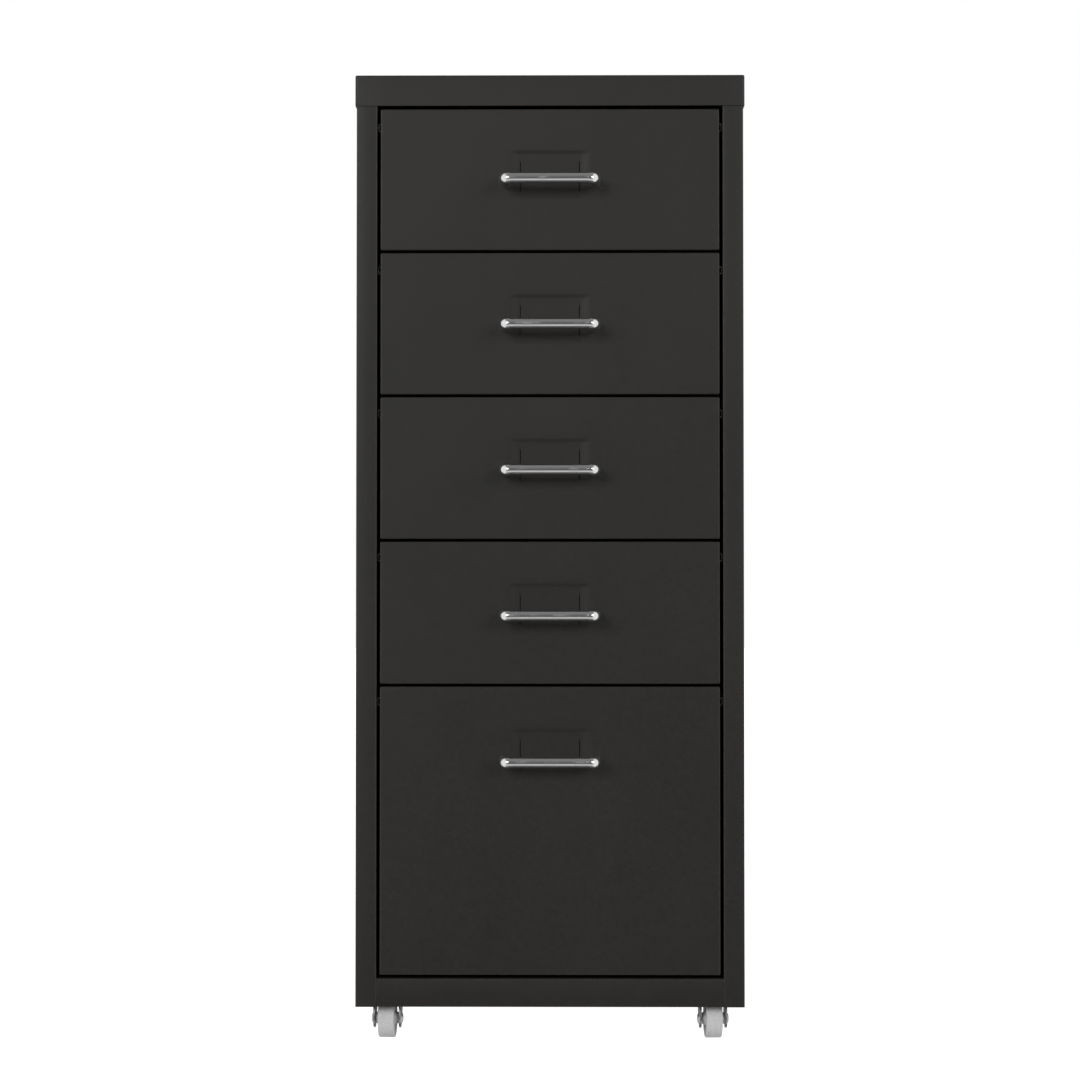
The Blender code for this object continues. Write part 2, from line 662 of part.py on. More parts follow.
def make_fork(name, mats, home):
    bm = bmesh.new()
    face = bm.faces.new([bm.verts.new((-FORK_OUT, y, z)) for y, z in fork_outline()])
    made = bmesh.ops.extrude_face_region(bm, geom=[face])["geom"]
    verts = [g for g in made if isinstance(g, bmesh.types.BMVert)]
    bmesh.ops.translate(bm, vec=(2 * FORK_OUT, 0, 0), verts=verts)
    bmesh.ops.recalc_face_normals(bm, faces=bm.faces)
    fork = place(name, to_mesh(name, bm), mats["zinc"], home)
    reach = TRAIL + FORK_TOE + CROWN_HALF
    gap = box_mesh("fork_gap", (-FORK_IN, -reach, -CUT_PAST), (FORK_IN, reach, CROWN_UNDER))
    cut(fork, as_cutter(place(f"{name}_gap", gap, parent=home)))
    bore = AXLE_RADIUS + FIT
    across = FORK_OUT + CUT_PAST
    axle_hole = turned("x", [(-across, bore, "round"), (across, bore, "round")])
    axle = (0, -TRAIL, AXLE_Z)
    cut(fork, as_cutter(place(f"{name}_axle_hole", to_mesh("hole", axle_hole), parent=home, location=axle)))
    bore = STEM_RADIUS + FIT
    stem_hole = turned("z", [(CROWN_UNDER - CUT_PAST, bore, "round"), (CROWN_TOP + CUT_PAST, bore, "round")])
    cut(fork, as_cutter(place(f"{name}_stem_hole", to_mesh("hole", stem_hole), parent=home)))


def stem_body():
    """Riveted head under the crown, ball race, hexagonal collar and threaded stud in one."""
    head_top = CROWN_UNDER - FIT
    race = CROWN_TOP + FIT
    collar = race + RACE_HEIGHT
    stud_top = BASE_TOP + FIT + NUT_HEIGHT + STEM_PROUD
    return turned(
        "z",
        [
            (head_top - STEM_HEAD_HEIGHT, STEM_HEAD, "round"),
            (head_top, STEM_HEAD, "round"),
            (head_top, STEM_RADIUS, "round"),
            (race, STEM_RADIUS, "round"),
            (race, RACE_RADIUS, "round"),
            (collar, RACE_RADIUS, "round"),
            (collar, COLLAR_FLATS / 2, "hex"),
            (CASTER_TOP, COLLAR_FLATS / 2, "hex"),
            (CASTER_TOP, STEM_RADIUS, "round"),
            (stud_top, STEM_RADIUS, "round"),
        ],
    )


def nut_body():
    low = BASE_TOP + FIT
    high = low + NUT_HEIGHT
    bore = STEM_RADIUS + FIT
    flats = NUT_FLATS / 2
    return turned(
        "z",
        [(low, bore, "round"), (low, flats, "hex"), (high, flats, "hex"), (high, bore, "round")],
        closed=True,
    )


def make_caster(mats, corner, x, y, turn, meshes):
    """A stem and a nut that stay with the case, a fork that swivels, and a wheel that rolls on an axle."""
    seat = empty(f"caster_{corner}_seat", (x, y, 0))
    place(f"caster_{corner}_stem", meshes["stem"], mats["zinc"], seat)
    place(f"caster_{corner}_nut", meshes["nut"], mats["zinc"], seat)
    swivel = empty(f"caster_{corner}_swivel", (x, y, 0), turn)
    make_fork(f"caster_{corner}_fork", mats, swivel)
    axle = (0, -TRAIL, AXLE_Z)
    place(f"caster_{corner}_axle", meshes["axle"], mats["zinc"], swivel, axle)
    place(f"caster_{corner}_wheel", meshes["wheel"], mats["wheel_plastic"], swivel, axle)


# ---------------------------------------------------------------- assembly
def drawer_feet():
    """(number from the top, height of the front, height of its foot above the floor) of each drawer."""
    feet = []
    top = OPENING_TOP - TOP_GAP
    for number in range(1, SHALLOW_DRAWERS + 2):
        height = SHALLOW_HEIGHT if number <= SHALLOW_DRAWERS else DEEP_HEIGHT
        feet.append((number, height, top - height))
        top -= height + FRONT_GAP
    return feet


def caster_places():
    return {
        "front_left": (-CASTER_X, CASTER_FRONT_Y),
        "front_right": (CASTER_X, CASTER_FRONT_Y),
        "rear_left": (-CASTER_X, CASTER_REAR_Y),
        "rear_right": (CASTER_X, CASTER_REAR_Y),
    }


def main():
    clear_scene()
    mats = make_materials()
    make_cap(mats)
    make_sides(mats)
    make_back(mats)
    make_base(mats, caster_places())
    kits = {height: drawer_kit(height) for height in (SHALLOW_HEIGHT, DEEP_HEIGHT)}
    for number, height, foot in drawer_feet():
        make_drawer(mats, number, foot, kits[height])
        make_runners(mats, number, foot, kits[height]["runners"])
    caster_meshes = {
        "stem": smooth(to_mesh("stem", stem_body())),
        "nut": to_mesh("nut", nut_body()),
        "axle": smooth(to_mesh("axle", axle_body())),
        "wheel": smooth(to_mesh("wheel", wheel_body())),
    }
    for corner, (x, y) in caster_places().items():
        make_caster(mats, corner, x, y, REST_SWIVEL[corner], caster_meshes)


main()
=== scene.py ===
# %% [markdown]
# # A steel chest of drawers on casters
#
# This lesson dresses a finished mechanical model. The model comes in as a *frame*: sixty plain solids in
# metres, grouped into bodies that slide, swivel and roll. Nothing in the frame is moved. Each plain solid
# is swapped for a finer piece in exactly the same place, and the finer piece rides on the same body.
#
# The chest is folded sheet metal, so most pieces are one idea used again: a flat blank, worked out as a
# grid of points with numpy, whose edges are carried round small bends.

# %% Load the frame
import json

import bpy
import numpy as np
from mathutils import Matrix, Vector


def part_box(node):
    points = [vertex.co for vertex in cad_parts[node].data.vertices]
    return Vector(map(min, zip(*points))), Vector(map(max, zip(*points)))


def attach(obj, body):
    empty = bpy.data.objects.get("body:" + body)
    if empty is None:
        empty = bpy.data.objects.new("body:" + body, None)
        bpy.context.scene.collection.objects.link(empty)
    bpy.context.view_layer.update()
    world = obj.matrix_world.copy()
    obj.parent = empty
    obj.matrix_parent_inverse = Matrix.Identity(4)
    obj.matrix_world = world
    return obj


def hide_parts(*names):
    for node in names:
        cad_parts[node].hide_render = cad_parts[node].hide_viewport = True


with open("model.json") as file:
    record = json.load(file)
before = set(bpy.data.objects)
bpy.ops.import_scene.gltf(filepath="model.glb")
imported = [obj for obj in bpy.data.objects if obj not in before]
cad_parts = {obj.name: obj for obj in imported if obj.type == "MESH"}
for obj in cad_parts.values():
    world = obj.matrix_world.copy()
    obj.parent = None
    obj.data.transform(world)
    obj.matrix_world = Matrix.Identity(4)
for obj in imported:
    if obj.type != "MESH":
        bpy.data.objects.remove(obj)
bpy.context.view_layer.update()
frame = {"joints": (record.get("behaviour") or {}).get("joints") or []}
joints = {joint["name"]: joint for joint in frame["joints"]}

# %% [markdown]
# ## The camera
#
# The chest is seen from the front, from a little over two metres away. A long lens keeps its upright edges
# nearly parallel. The camera is a little below the middle of the chest and tipped up by under two degrees,
# which makes the foot of the chest a touch wider than its top. A small shift slides the picture without
# tipping it further.

# %% Camera
FILM = 36.0  # mm
LENS = 100.65  # mm
EYE = (0.0146, -2.35, 0.33)
TIP_UP = 1.654  # degrees
TURN_LEFT = 0.574  # degrees
SHIFT_UP = -0.0448

camera_data = bpy.data.cameras.new("camera")
camera_data.sensor_width = FILM
camera_data.lens = LENS
camera_data.shift_y = SHIFT_UP
camera = bpy.data.objects.new("camera", camera_data)
camera.location = EYE
camera.rotation_euler = (np.radians(90 + TIP_UP), 0, np.radians(TURN_LEFT))
bpy.context.scene.collection.objects.link(camera)
bpy.context.scene.camera = camera

# %% [markdown]
# ## From a grid of points to a mesh
#
# Blender can build a mesh from primitives, from curves or by extruding by hand. Here every shape is a
# function of two parameters, evaluated on a whole grid at once, and this helper turns the grid into faces.
# A cell of the grid is one four-sided face. Leaving a cell out cuts a hole, and joining the last column to
# the first makes a tube.
#
# The helper also settles which side is outside, because Blender's Solidify and every shader need to know.

# %% A mesh from a grid
SMOOTH_UNDER = np.radians(35)


def shade(mesh):
    """Faces that meet at under 35 degrees shade as one surface."""
    mesh.shade_smooth()
    mesh.set_sharp_from_angle(angle=SMOOTH_UNDER)


def surface(name, points, keep=None, tube=False, wear=None, outside=None):
    """A mesh whose vertices are points[i, j]. Each cell between four neighbours is a face, unless keep[i,
    j] is False. tube joins the last column to the first and closes both ends with a flat cap. The number
    per point that is passed in is stored for materials to read: on the sheet it marks the bends, which the
    powder coat paints paler as a highlight, and on the wheels the tread, which gets dust. outside is a
    direction that the mesh faces on the whole; with none, it is a closed body and faces away from its inside."""
    rows, columns = points.shape[:2]
    index = np.arange(rows * columns).reshape(rows, columns)
    if tube:
        index = np.concatenate([index, index[:, :1]], axis=1)
    cells = np.stack([index[:-1, :-1], index[1:, :-1], index[1:, 1:], index[:-1, 1:]], axis=-1)
    cells = cells[keep] if keep is not None else cells.reshape(-1, 4)
    flat = points.reshape(-1, 3)
    a, b, c, d = (flat[cells[:, k]] for k in range(4))
    normals = np.cross(c - a, d - b)
    facing = (normals @ np.array(outside)).sum() if outside else (normals * (a + c)).sum()
    if facing < 0:
        cells = cells[:, ::-1]
    used, cells = np.unique(cells, return_inverse=True)
    faces = cells.reshape(-1, 4).tolist()
    if tube:
        first, last = index[0, :-1].tolist(), index[-1, :-1].tolist()
        faces += [first, last[::-1]] if facing < 0 else [first[::-1], last]
    mesh = bpy.data.meshes.new(name)
    mesh.from_pydata(flat[used].tolist(), [], faces)
    if wear is not None:
        # The mark on bends feeds a painted highlight in the powder coat; on wheel treads it feeds dust.
        attribute = mesh.attributes.new("wear", "FLOAT", "POINT")
        attribute.data.foreach_set("value", wear.reshape(-1)[used].astype(np.float32))
    shade(mesh)
    return mesh


# %% [markdown]
# ## Bends
#
# A press brake folds a blank along straight lines, and the metal turns through a small radius. So a folded
# edge is a line of straight runs with an arc at each corner. The arc is what catches the light: an edge
# with no radius looks like paper.
#
# The helper also marks which points lie on a bend. Powder thins out there while it bakes, so the finish is a
# little smoother there; the finish also paints each bend paler, a painted highlight.

# %% A line with rounded corners
def rounded(corners, radius, steps=5):
    """The line through corners with each inner corner swapped for an arc that is tangent to both runs.
    Returns the distance along it, its points, and 1 on each arc and 0 elsewhere."""
    corners = np.array(corners, float)
    runs = [corners[:1]]
    bent = [[0.0]]
    for before, corner, after in zip(corners[:-2], corners[1:-1], corners[2:]):
        a = (corner - before) / np.linalg.norm(corner - before)
        b = (after - corner) / np.linalg.norm(after - corner)
        turn = np.arctan2(a[0] * b[1] - a[1] * b[0], a @ b)
        inward = np.sign(turn) * np.array([-a[1], a[0]])
        centre = corner - a * radius * np.tan(abs(turn) / 2) + inward * radius
        angle = np.linspace(0, turn, steps + 1)[:, None]
        spoke = -inward * radius
        across = np.array([-spoke[1], spoke[0]])
        runs.append(centre + np.cos(angle) * spoke + np.sin(angle) * across)
        bent.append(np.sin(np.linspace(0, np.pi, steps + 1)))
    points = np.concatenate(runs + [corners[-1:]])
    steps_along = np.linalg.norm(np.diff(points, axis=0), axis=1)
    return np.concatenate([[0], np.cumsum(steps_along)]), points, np.concatenate(bent + [[0.0]])


# %% [markdown]
# ## Pans
#
# The cap, the drawer fronts, the trays and the sides are all pans: a flat middle with turned-up edges. A
# pan could be a box with a face deleted, but its corners would be knife-sharp. Here the flat core is left
# as it is, and each grid point beyond it is carried outwards and over the rim. Near a corner, two edges
# pull at once, and the square of grid cells there is wrapped onto a quarter circle.

# %% A pan
def pan(half_a, half_b, corner, rim, flat_a, flat_b, bend=0.0010):
    """A pan of half sizes half_a and half_b, whose corners have radius corner. rim is the section of its
    edge past the flat, as (outwards, back) points that start at the outer face. flat_a and flat_b are extra
    grid lines on the flat. Returns a, b, back, bent and how far each point has gone along the rim, all on
    one grid.

    A point is its nearest core point, plus the rim's outward distance along a direction that turns from one
    side's normal to the other's across the corner."""
    along, section, arc = rounded([(0, 0)] + [(corner + out, back) for out, back in rim], bend)
    sides = []
    for half, flat in ((half_a, flat_a), (half_b, flat_b)):
        core = half - corner
        inner = np.clip(np.union1d(flat, [0.0]), -core, core)
        place = np.concatenate([np.full(len(along), -core), inner, np.full(len(along), core)])
        beyond = np.concatenate([-along[::-1], 0 * inner, along])
        order = np.concatenate([[True], (np.diff(place) > 1e-9) | (np.diff(beyond) > 1e-9)])
        sides.append((place[order], beyond[order]))
    (place_a, beyond_a), (place_b, beyond_b) = sides
    core_a, core_b = np.meshgrid(place_a, place_b, indexing="ij")
    over_a, over_b = np.meshgrid(beyond_a, beyond_b, indexing="ij")
    size_a, size_b = abs(over_a), abs(over_b)
    far = np.maximum(size_a, size_b)
    share = np.minimum(size_a, size_b) / np.maximum(far, 1e-12)
    angle = np.where(size_a >= size_b, share, 2 - share) * np.pi / 4
    angle = np.where(far > 0, angle, 0)
    out = np.interp(far, along, section[:, 0])
    a = core_a + np.sign(over_a) * out * np.cos(angle)
    b = core_b + np.sign(over_b) * out * np.sin(angle)
    back = np.interp(far, along, section[:, 1])
    return a, b, back, np.interp(far, along, arc), (over_a, over_b, along)


def cells(grid):
    """The middle of each cell of a grid of numbers."""
    return (grid[:-1, :-1] + grid[1:, :-1] + grid[1:, 1:] + grid[:-1, 1:]) / 4


# %% [markdown]
# ## Sections carried along a line
#
# Runners, hems and the base are simpler: one folded section, the same all the way along.

# %% A carried section
def carried(section, places, axes):
    """Points of a section carried along a straight line. axes says which axis takes the section's first
    number, its second, and the place along the line."""
    points = np.zeros((len(section), len(places), 3))
    points[..., axes[0]] = section[:, :1]
    points[..., axes[1]] = section[:, 1:]
    points[..., axes[2]] = places
    return points


# %% [markdown]
# ## Materials as sums
#
# A node tree drawn by hand is hard to read back. This small class wraps the output of a node, and
# arithmetic on it adds Math nodes, so a recipe for dust or wear reads like the sum that it is. Everything
# else goes through one method that makes any node from its type, its settings and its inputs.

# %% Shader expressions
class Number:
    """A number on its way through a finish. Arithmetic on it adds Math nodes."""

    def __init__(self, finish, socket):
        self.finish = finish
        self.socket = socket

    def maths(self, operation, first, second):
        return self.finish.node("Math", {"operation": operation}, {0: first, 1: second})

    def __add__(self, other):
        return self.maths("ADD", self, other)

    def __sub__(self, other):
        return self.maths("SUBTRACT", self, other)

    def __mul__(self, other):
        return self.maths("MULTIPLY", self, other)

    def __rsub__(self, other):
        return self.maths("SUBTRACT", other, self)

    def __pow__(self, other):
        return self.maths("POWER", self, other)

    __radd__ = __add__
    __rmul__ = __mul__

    def between(self, low, high):
        """0 below low, 1 above high and a smooth rise from one to the other."""
        inputs = {"Value": self, "From Min": low, "From Max": high}
        return self.finish.node("MapRange", {"interpolation_type": "SMOOTHSTEP"}, inputs)


class Finish:
    """A material with one Principled shader, and the methods that its recipes are written with."""

    def __init__(self, name, roughness, metallic=0.0, **constants):
        self.material = bpy.data.materials.new(name)
        self.material.use_nodes = True
        self.tree = self.material.node_tree
        self.shader = self.tree.nodes["Principled BSDF"]
        self.shader.inputs["Roughness"].default_value = roughness
        self.shader.inputs["Metallic"].default_value = metallic
        for socket, value in constants.items():
            self.shader.inputs[socket.replace("_", " ")].default_value = value
        self.place = self.node("TexCoord", output="Object")

    def node(self, kind, settings=(), inputs=(), output=0):
        """Any node, from its type, its settings, and the values or links of its sockets."""
        made = self.tree.nodes.new("ShaderNode" + kind)
        for setting, value in dict(settings).items():
            setattr(made, setting, value)
        for socket, value in dict(inputs).items():
            if isinstance(value, Number):
                self.tree.links.new(value.socket, made.inputs[socket])
            else:
                made.inputs[socket].default_value = value
        return Number(self, made.outputs[output])

    def noise(self, size, detail=2.0, stretch=(1, 1, 1)):
        """Soft random blotches of about this size in metres, longer along an axis whose stretch is over
        1."""
        scale = tuple(1 / (size * s) for s in stretch)
        place = self.node("VectorMath", {"operation": "MULTIPLY"}, {0: self.place, 1: scale})
        return self.node("TexNoise", {}, {"Vector": place, "Scale": 1.0, "Detail": detail})

    def blend(self, amount, low, high):
        """A colour from low to high as amount goes from 0 to 1."""
        settings = {"data_type": "RGBA", "clamp_factor": True}
        return self.node("Mix", settings, {0: amount, 6: low, 7: high}, output=2)

    # The bend and tread mark: on sheet pieces it sets the painted highlight on bends, on wheels the dust on
    # treads.
    def wear(self):
        return self.node("Attribute", {"attribute_name": "wear"}, output="Fac")

    def bumps(self, height, depth, strength=1.0):
        """A surface that rises by height times depth metres."""
        inputs = {"Height": height, "Distance": depth, "Strength": strength}
        self.feed("Normal", self.node("Bump", {}, inputs))

    def feed(self, socket, number):
        self.tree.links.new(number.socket, self.shader.inputs[socket])


def grey(value, warm=0.0):
    """A near-grey colour. warm tips it towards red and away from blue."""
    return (value * (1 + warm), value, value * (1 - warm), 1.0)


# %% [markdown]
# ## Powder coat
#
# The sheet metal is powder coated in charcoal grey. Dry powder is baked until it flows, so it has a fine
# grain from the pigment, a slow ripple called orange peel, and a broad unevenness that follows the spray.
# It is thinner on bends, where it is a little smoother, and there its colour is painted paler as a highlight.

# %% Powder coat
def powder_coat():
    coat = Finish("powder_coat", roughness=0.42, IOR=1.45)
    grain = coat.noise(0.0006, detail=3)
    peel = coat.noise(0.0032)
    cloud = coat.noise(0.11, detail=3)
    streaks = coat.noise(0.02, stretch=(1, 1, 9))
    # Bends: thinner powder makes them a little smoother, and a painted highlight makes them paler.
    thin_coat_and_painted_highlight = coat.wear() * coat.noise(0.006).between(0.3, 0.7)
    tone = 0.5 + (grain - 0.5) * 0.9 + (cloud - 0.5) * 1.1 + (streaks - 0.5) * 0.35
    base = coat.blend(tone, grey(0.0115, 0.10), grey(0.0190, 0.10))
    # Painted highlight: the base colour turns paler along the bends.
    coat.feed("Base Color", coat.blend(thin_coat_and_painted_highlight * 0.55, base, grey(0.032, 0.06)))
    coat.feed("Roughness", 0.44 + (peel - 0.5) * 0.16 + (grain - 0.5) * 0.14 - thin_coat_and_painted_highlight * 0.06)
    coat.bumps(peel * 0.8 + grain * 0.35, 0.00003)
    return coat.material


# %% [markdown]
# ## Bright wire, zinc and nylon
#
# The handles are chromed wire: a slightly soft mirror, with faint smears where fingers pull. The forks,
# runners and fasteners are zinc plated: a cooler, duller metal with fine crystals and drawing lines. The
# wheels are moulded in light grey nylon, and their treads have picked up a little dust.

# %% Metal and plastic finishes
def bright_chrome():
    chrome = Finish("chrome", roughness=0.07, metallic=1.0)
    smear = chrome.noise(0.012, detail=3).between(0.45, 0.75)
    pits = chrome.noise(0.0007)
    chrome.feed("Base Color", chrome.blend(smear * 0.6, grey(0.78), grey(0.68, 0.01)))
    chrome.feed("Roughness", 0.17 + smear * 0.10)
    chrome.bumps(pits, 0.000004)
    return chrome.material


def zinc_plate():
    tone = 0.50
    zinc = Finish("zinc", roughness=0.36, metallic=1.0)
    crystals = zinc.node("TexVoronoi", {}, {"Vector": zinc.place, "Scale": 420.0}, output="Color")
    spangle = zinc.node("SeparateColor", {}, {"Color": crystals})
    lines = zinc.noise(0.0009, stretch=(1, 12, 1))
    blotch = zinc.noise(0.018, detail=4)
    shade_of = (spangle - 0.5) * 0.22 + (blotch - 0.5) * 0.9 + (lines - 0.5) * 0.4 + 0.5
    zinc.feed("Base Color", zinc.blend(shade_of, grey(tone * 0.72, -0.03), grey(tone * 1.2, -0.01)))
    zinc.feed("Roughness", 0.34 + (blotch - 0.5) * 0.25 + (spangle - 0.5) * 0.08)
    zinc.bumps(lines + spangle * 0.4, 0.000012)
    return zinc.material


def moulded_nylon():
    nylon = Finish("wheel_plastic", roughness=0.48, IOR=1.5)
    dust = nylon.noise(0.0016, detail=4).between(0.50, 0.80)
    cloud = nylon.noise(0.02, detail=3)
    skin = nylon.noise(0.0008)
    clean = nylon.blend(cloud, grey(0.74), grey(0.82))
    nylon.feed("Base Color", nylon.blend(dust * nylon.wear() * 0.35, clean, grey(0.40, 0.03)))
    nylon.feed("Roughness", 0.42 + dust * 0.2 + (skin - 0.5) * 0.1)
    nylon.bumps(skin + dust * 0.8, 0.00002)
    return nylon.material


FINISHES = {
    "powder_coat": powder_coat(),
    "chrome": bright_chrome(),
    "zinc": zinc_plate(),
    "wheel_plastic": moulded_nylon(),
}
print("finishes:", sorted(FINISHES))

# %% [markdown]
# ## Putting a piece in place
#
# A piece gets a finish, rides on a body, and says which plain solids it stands for. Sheet pieces are also
# given their thickness here. Solidify grows a wall inwards from the outer skin, and a very small Bevel
# eases the cut edges, as a deburring wheel would.

# %% Place a piece
EASED = 0.00012  # width of an eased edge
EASE_OVER = np.radians(50)


def bake(piece):
    """Puts what the modifiers make into the mesh itself."""
    graph = bpy.context.evaluated_depsgraph_get()
    made = bpy.data.meshes.new_from_object(piece.evaluated_get(graph))
    piece.modifiers.clear()
    piece.data = made
    shade(made)


def place(mesh, finish, body, *nodes, sheet=0.0):
    """Makes an object of a mesh that rides on a body and stands for nodes. sheet is its wall, if it is a
    sheet."""
    piece = bpy.data.objects.new(mesh.name, mesh)
    bpy.context.scene.collection.objects.link(piece)
    mesh.materials.append(FINISHES[finish])
    if sheet:
        wall = piece.modifiers.new("wall", "SOLIDIFY")
        wall.thickness = sheet
        wall.offset = -1
        wall.use_even_offset = True
        ease = piece.modifiers.new("ease", "BEVEL")
        ease.width = EASED
        ease.segments = 1
        ease.limit_method = "ANGLE"
        ease.angle_limit = EASE_OVER
        bake(piece)
    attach(piece, body)
    if nodes:
        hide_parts(*nodes)
    return piece


# %% [markdown]
# ## The cap
#
# A shallow lid, with skirts that lap over the case on all four sides. Its front skirt has a hem behind it,
# which stiffens the edge above the top drawer.

# %% Cap
CASE_SHEET = 0.0007
CAP_CORNER = 0.0016
CAP_HEM = (0.0040, 0.0073)  # up the inside of the skirt, and back from it
CAP_HEM_SHEET = 0.0006


def level_pan(a, b, back, centre, top):
    """A pan lying face up: a runs along X, b along Y, and back downwards."""
    return np.stack([centre.x + a, centre.y + b, top - back], axis=-1)


def make_cap():
    low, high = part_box("top_cap")
    centre = (low + high) / 2
    skirt = high.z - low.z
    half_a, half_b = (high.x - low.x) / 2, (high.y - low.y) / 2
    spread = np.linspace(-1, 1, 13)
    rim = [(0, 0), (0, skirt)]
    a, b, back, bent, _ = pan(half_a, half_b, CAP_CORNER, rim, spread * half_a, spread * half_b)
    mesh = surface("cap", level_pan(a, b, back, centre, high.z), wear=bent, outside=(0, 0, 1))
    place(mesh, "powder_coat", "case", "top_cap", sheet=CASE_SHEET)
    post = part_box("side_right")[0].x
    start, (rise, depth) = low.y + CASE_SHEET, CAP_HEM
    _, section, _ = rounded([(start, low.z + rise), (start, low.z), (start + depth, low.z)], 0.0005)
    points = carried(section, np.linspace(-post, post, 5), (1, 2, 0))
    place(surface("cap_hem", points, outside=(0, -1, -1)), "powder_coat", "case", sheet=CAP_HEM_SHEET)


make_cap()

# %% [markdown]
# ## The sides
#
# Each side is a tall pan. Its front edge is folded in to make the post beside the drawers, and folded again
# behind the post. The top and rear edges are single folds, and the foot is left open, so those cells of the
# grid are simply left out.

# %% Sides
POST_RETURN = 0.010
SIDE_FLANGE = 0.012
SIDE_CORNER = 0.0012


def make_side(hand, sign):
    node = f"side_{hand}"
    low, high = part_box(node)
    post = high.x - low.x
    half_a, half_b = (high.y - low.y) / 2, (high.z - low.z) / 2
    rim = [(0, 0), (0, post), (-POST_RETURN, post)]
    flat_a, flat_b = np.linspace(-half_a, half_a, 9), np.linspace(-half_b, half_b, 25)
    a, b, back, bent, (over_a, over_b, _) = pan(half_a, half_b, SIDE_CORNER, rim, flat_a, flat_b)
    over_a, over_b, cell_back = cells(over_a), cells(over_b), cells(back)
    front = (over_a < 0) & (abs(over_a) >= abs(over_b))
    foot = over_b < 0
    keep = (front | (cell_back < SIDE_FLANGE)) & ~foot
    folded_twice = np.maximum(abs(over_a), abs(over_b)) > post
    keep &= (front & (over_b == 0)) | ~folded_twice
    outer = high.x if sign > 0 else low.x
    y, z = (low.y + high.y) / 2 + a, (low.z + high.z) / 2 + b
    z = np.where(b <= -half_b + SIDE_CORNER + 1e-6, low.z, z)
    points = np.stack([outer - sign * back, y, z], axis=-1)
    mesh = surface(f"side_panel_{hand}", points, keep, wear=bent, outside=(sign, 0, 0))
    place(mesh, "powder_coat", "case", node, sheet=CASE_SHEET)


make_side("left", -1)
make_side("right", 1)
print("sheet of the case:", CASE_SHEET * 1000, "mm, with bends of", SIDE_CORNER * 1000, "mm")

# %% [markdown]
# ## The back and the base
#
# The back is one sheet with hems at the top and bottom. The base is the chest's floor: it turns down at the
# front into the plinth under the bottom drawer, turns up along its other edges, and is notched round the
# two posts. Four small openings take the stems of the casters.

# %% Back and base
HEM = 0.008
PLINTH_HEM = 0.006
STEM_OPENING = 0.0034  # half of it
CLEARANCE = 0.0003  # between pieces that only just clear each other
PLINTH_CLEARANCE = 0.0001
CASE_BEND = 0.0010
BASE_BEND = 0.0012
CORNERS = ("front_left", "front_right", "rear_left", "rear_right")


def make_back():
    low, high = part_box("back_panel")
    corners = [(high.y - HEM, high.z), (high.y, high.z), (high.y, low.z), (high.y - HEM, low.z)]
    _, section, bent = rounded(corners, CASE_BEND)
    places = np.linspace(low.x, high.x, 9)
    points = carried(section, places, (1, 2, 0))
    # Marks the hem bends, which the powder coat paints paler as a highlight.
    wear = np.tile(bent[:, None], (1, len(places)))
    mesh = surface("back", points, wear=wear, outside=(0, 1, 0))
    place(mesh, "powder_coat", "case", "back_panel", sheet=CASE_SHEET)


def make_base():
    """A grid of two folded sections at once: the fold from front to rear sets y and z, and the turned-up
    sides set x and add their rise. The notches and the stems' openings are cells left out."""
    low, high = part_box("base_panel")
    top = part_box("caster_front_left_nut")[0].z - CLEARANCE
    front, rear = low.y, high.y - CASE_SHEET
    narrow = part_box("side_right")[0].x - PLINTH_CLEARANCE
    wide = high.x - CASE_SHEET
    notch = front + POST_RETURN + CLEARANCE
    stems = [joints[f"caster_{corner}_swivel"]["pos_m"] for corner in CORNERS]
    side_corners = [(0, 0), (wide - narrow, 0), (wide - narrow, high.z - top)]
    _, side_section, _ = rounded(side_corners, CASE_BEND)
    stem_lines = np.concatenate([[x - STEM_OPENING, x + STEM_OPENING] for x, _, _ in stems])
    middle = np.union1d(np.linspace(-narrow, narrow, 9), stem_lines)
    x = np.concatenate([-narrow - side_section[:0:-1, 0], middle, narrow + side_section[1:, 0]])
    rise = np.concatenate([side_section[:0:-1, 1], 0 * middle, side_section[1:, 1]])
    fold = [(front + PLINTH_HEM, low.z), (front, low.z), (front, top), (rear, top), (rear, high.z)]
    along, section, bent = rounded(fold, BASE_BEND)
    lines = np.concatenate([[y - STEM_OPENING, y + STEM_OPENING] for _, y, _ in stems] + [[notch]])
    plate = np.argmax(section[:, 1] >= top - 1e-9)
    stations = np.union1d(along, along[plate] + lines - section[plate, 0])
    y = np.interp(stations, along, section[:, 0])
    z = np.interp(stations, along, section[:, 1])
    bend_mark = np.interp(stations, along, bent)
    points = np.stack(np.broadcast_arrays(x[:, None], y, z + rise[:, None]), axis=-1)
    mid = cells(points[..., 0]), cells(points[..., 1])
    outside_posts = abs(mid[0]) > narrow
    rear_turn = along[-1] - (high.z - top) - 0.0008
    upright = cells(np.broadcast_to(stations, points.shape[:2])) > rear_turn
    keep = ~(outside_posts & ((mid[1] < notch) | upright))
    for stem_x, stem_y, _ in stems:
        keep &= (abs(mid[0] - stem_x) > STEM_OPENING) | (abs(mid[1] - stem_y) > STEM_OPENING)
    # Marks the bends, which the powder coat paints paler as a highlight.
    wear = np.broadcast_to(bend_mark, points.shape[:2])
    mesh = surface("base", points, keep, wear=wear, outside=(0, 0, 1))
    place(mesh, "powder_coat", "case", "base_panel", sheet=CASE_SHEET)


make_back()
make_base()
print("openings in the base:", len(CORNERS))

# %% [markdown]
# ## Drawer fronts
#
# Each front is a shallow pan. A recess for a label is pressed into it, with two upright slits that hold the
# card. The pressing has soft walls, so it is a smooth step in each direction, multiplied together, and the
# slits are cells left out of the grid.

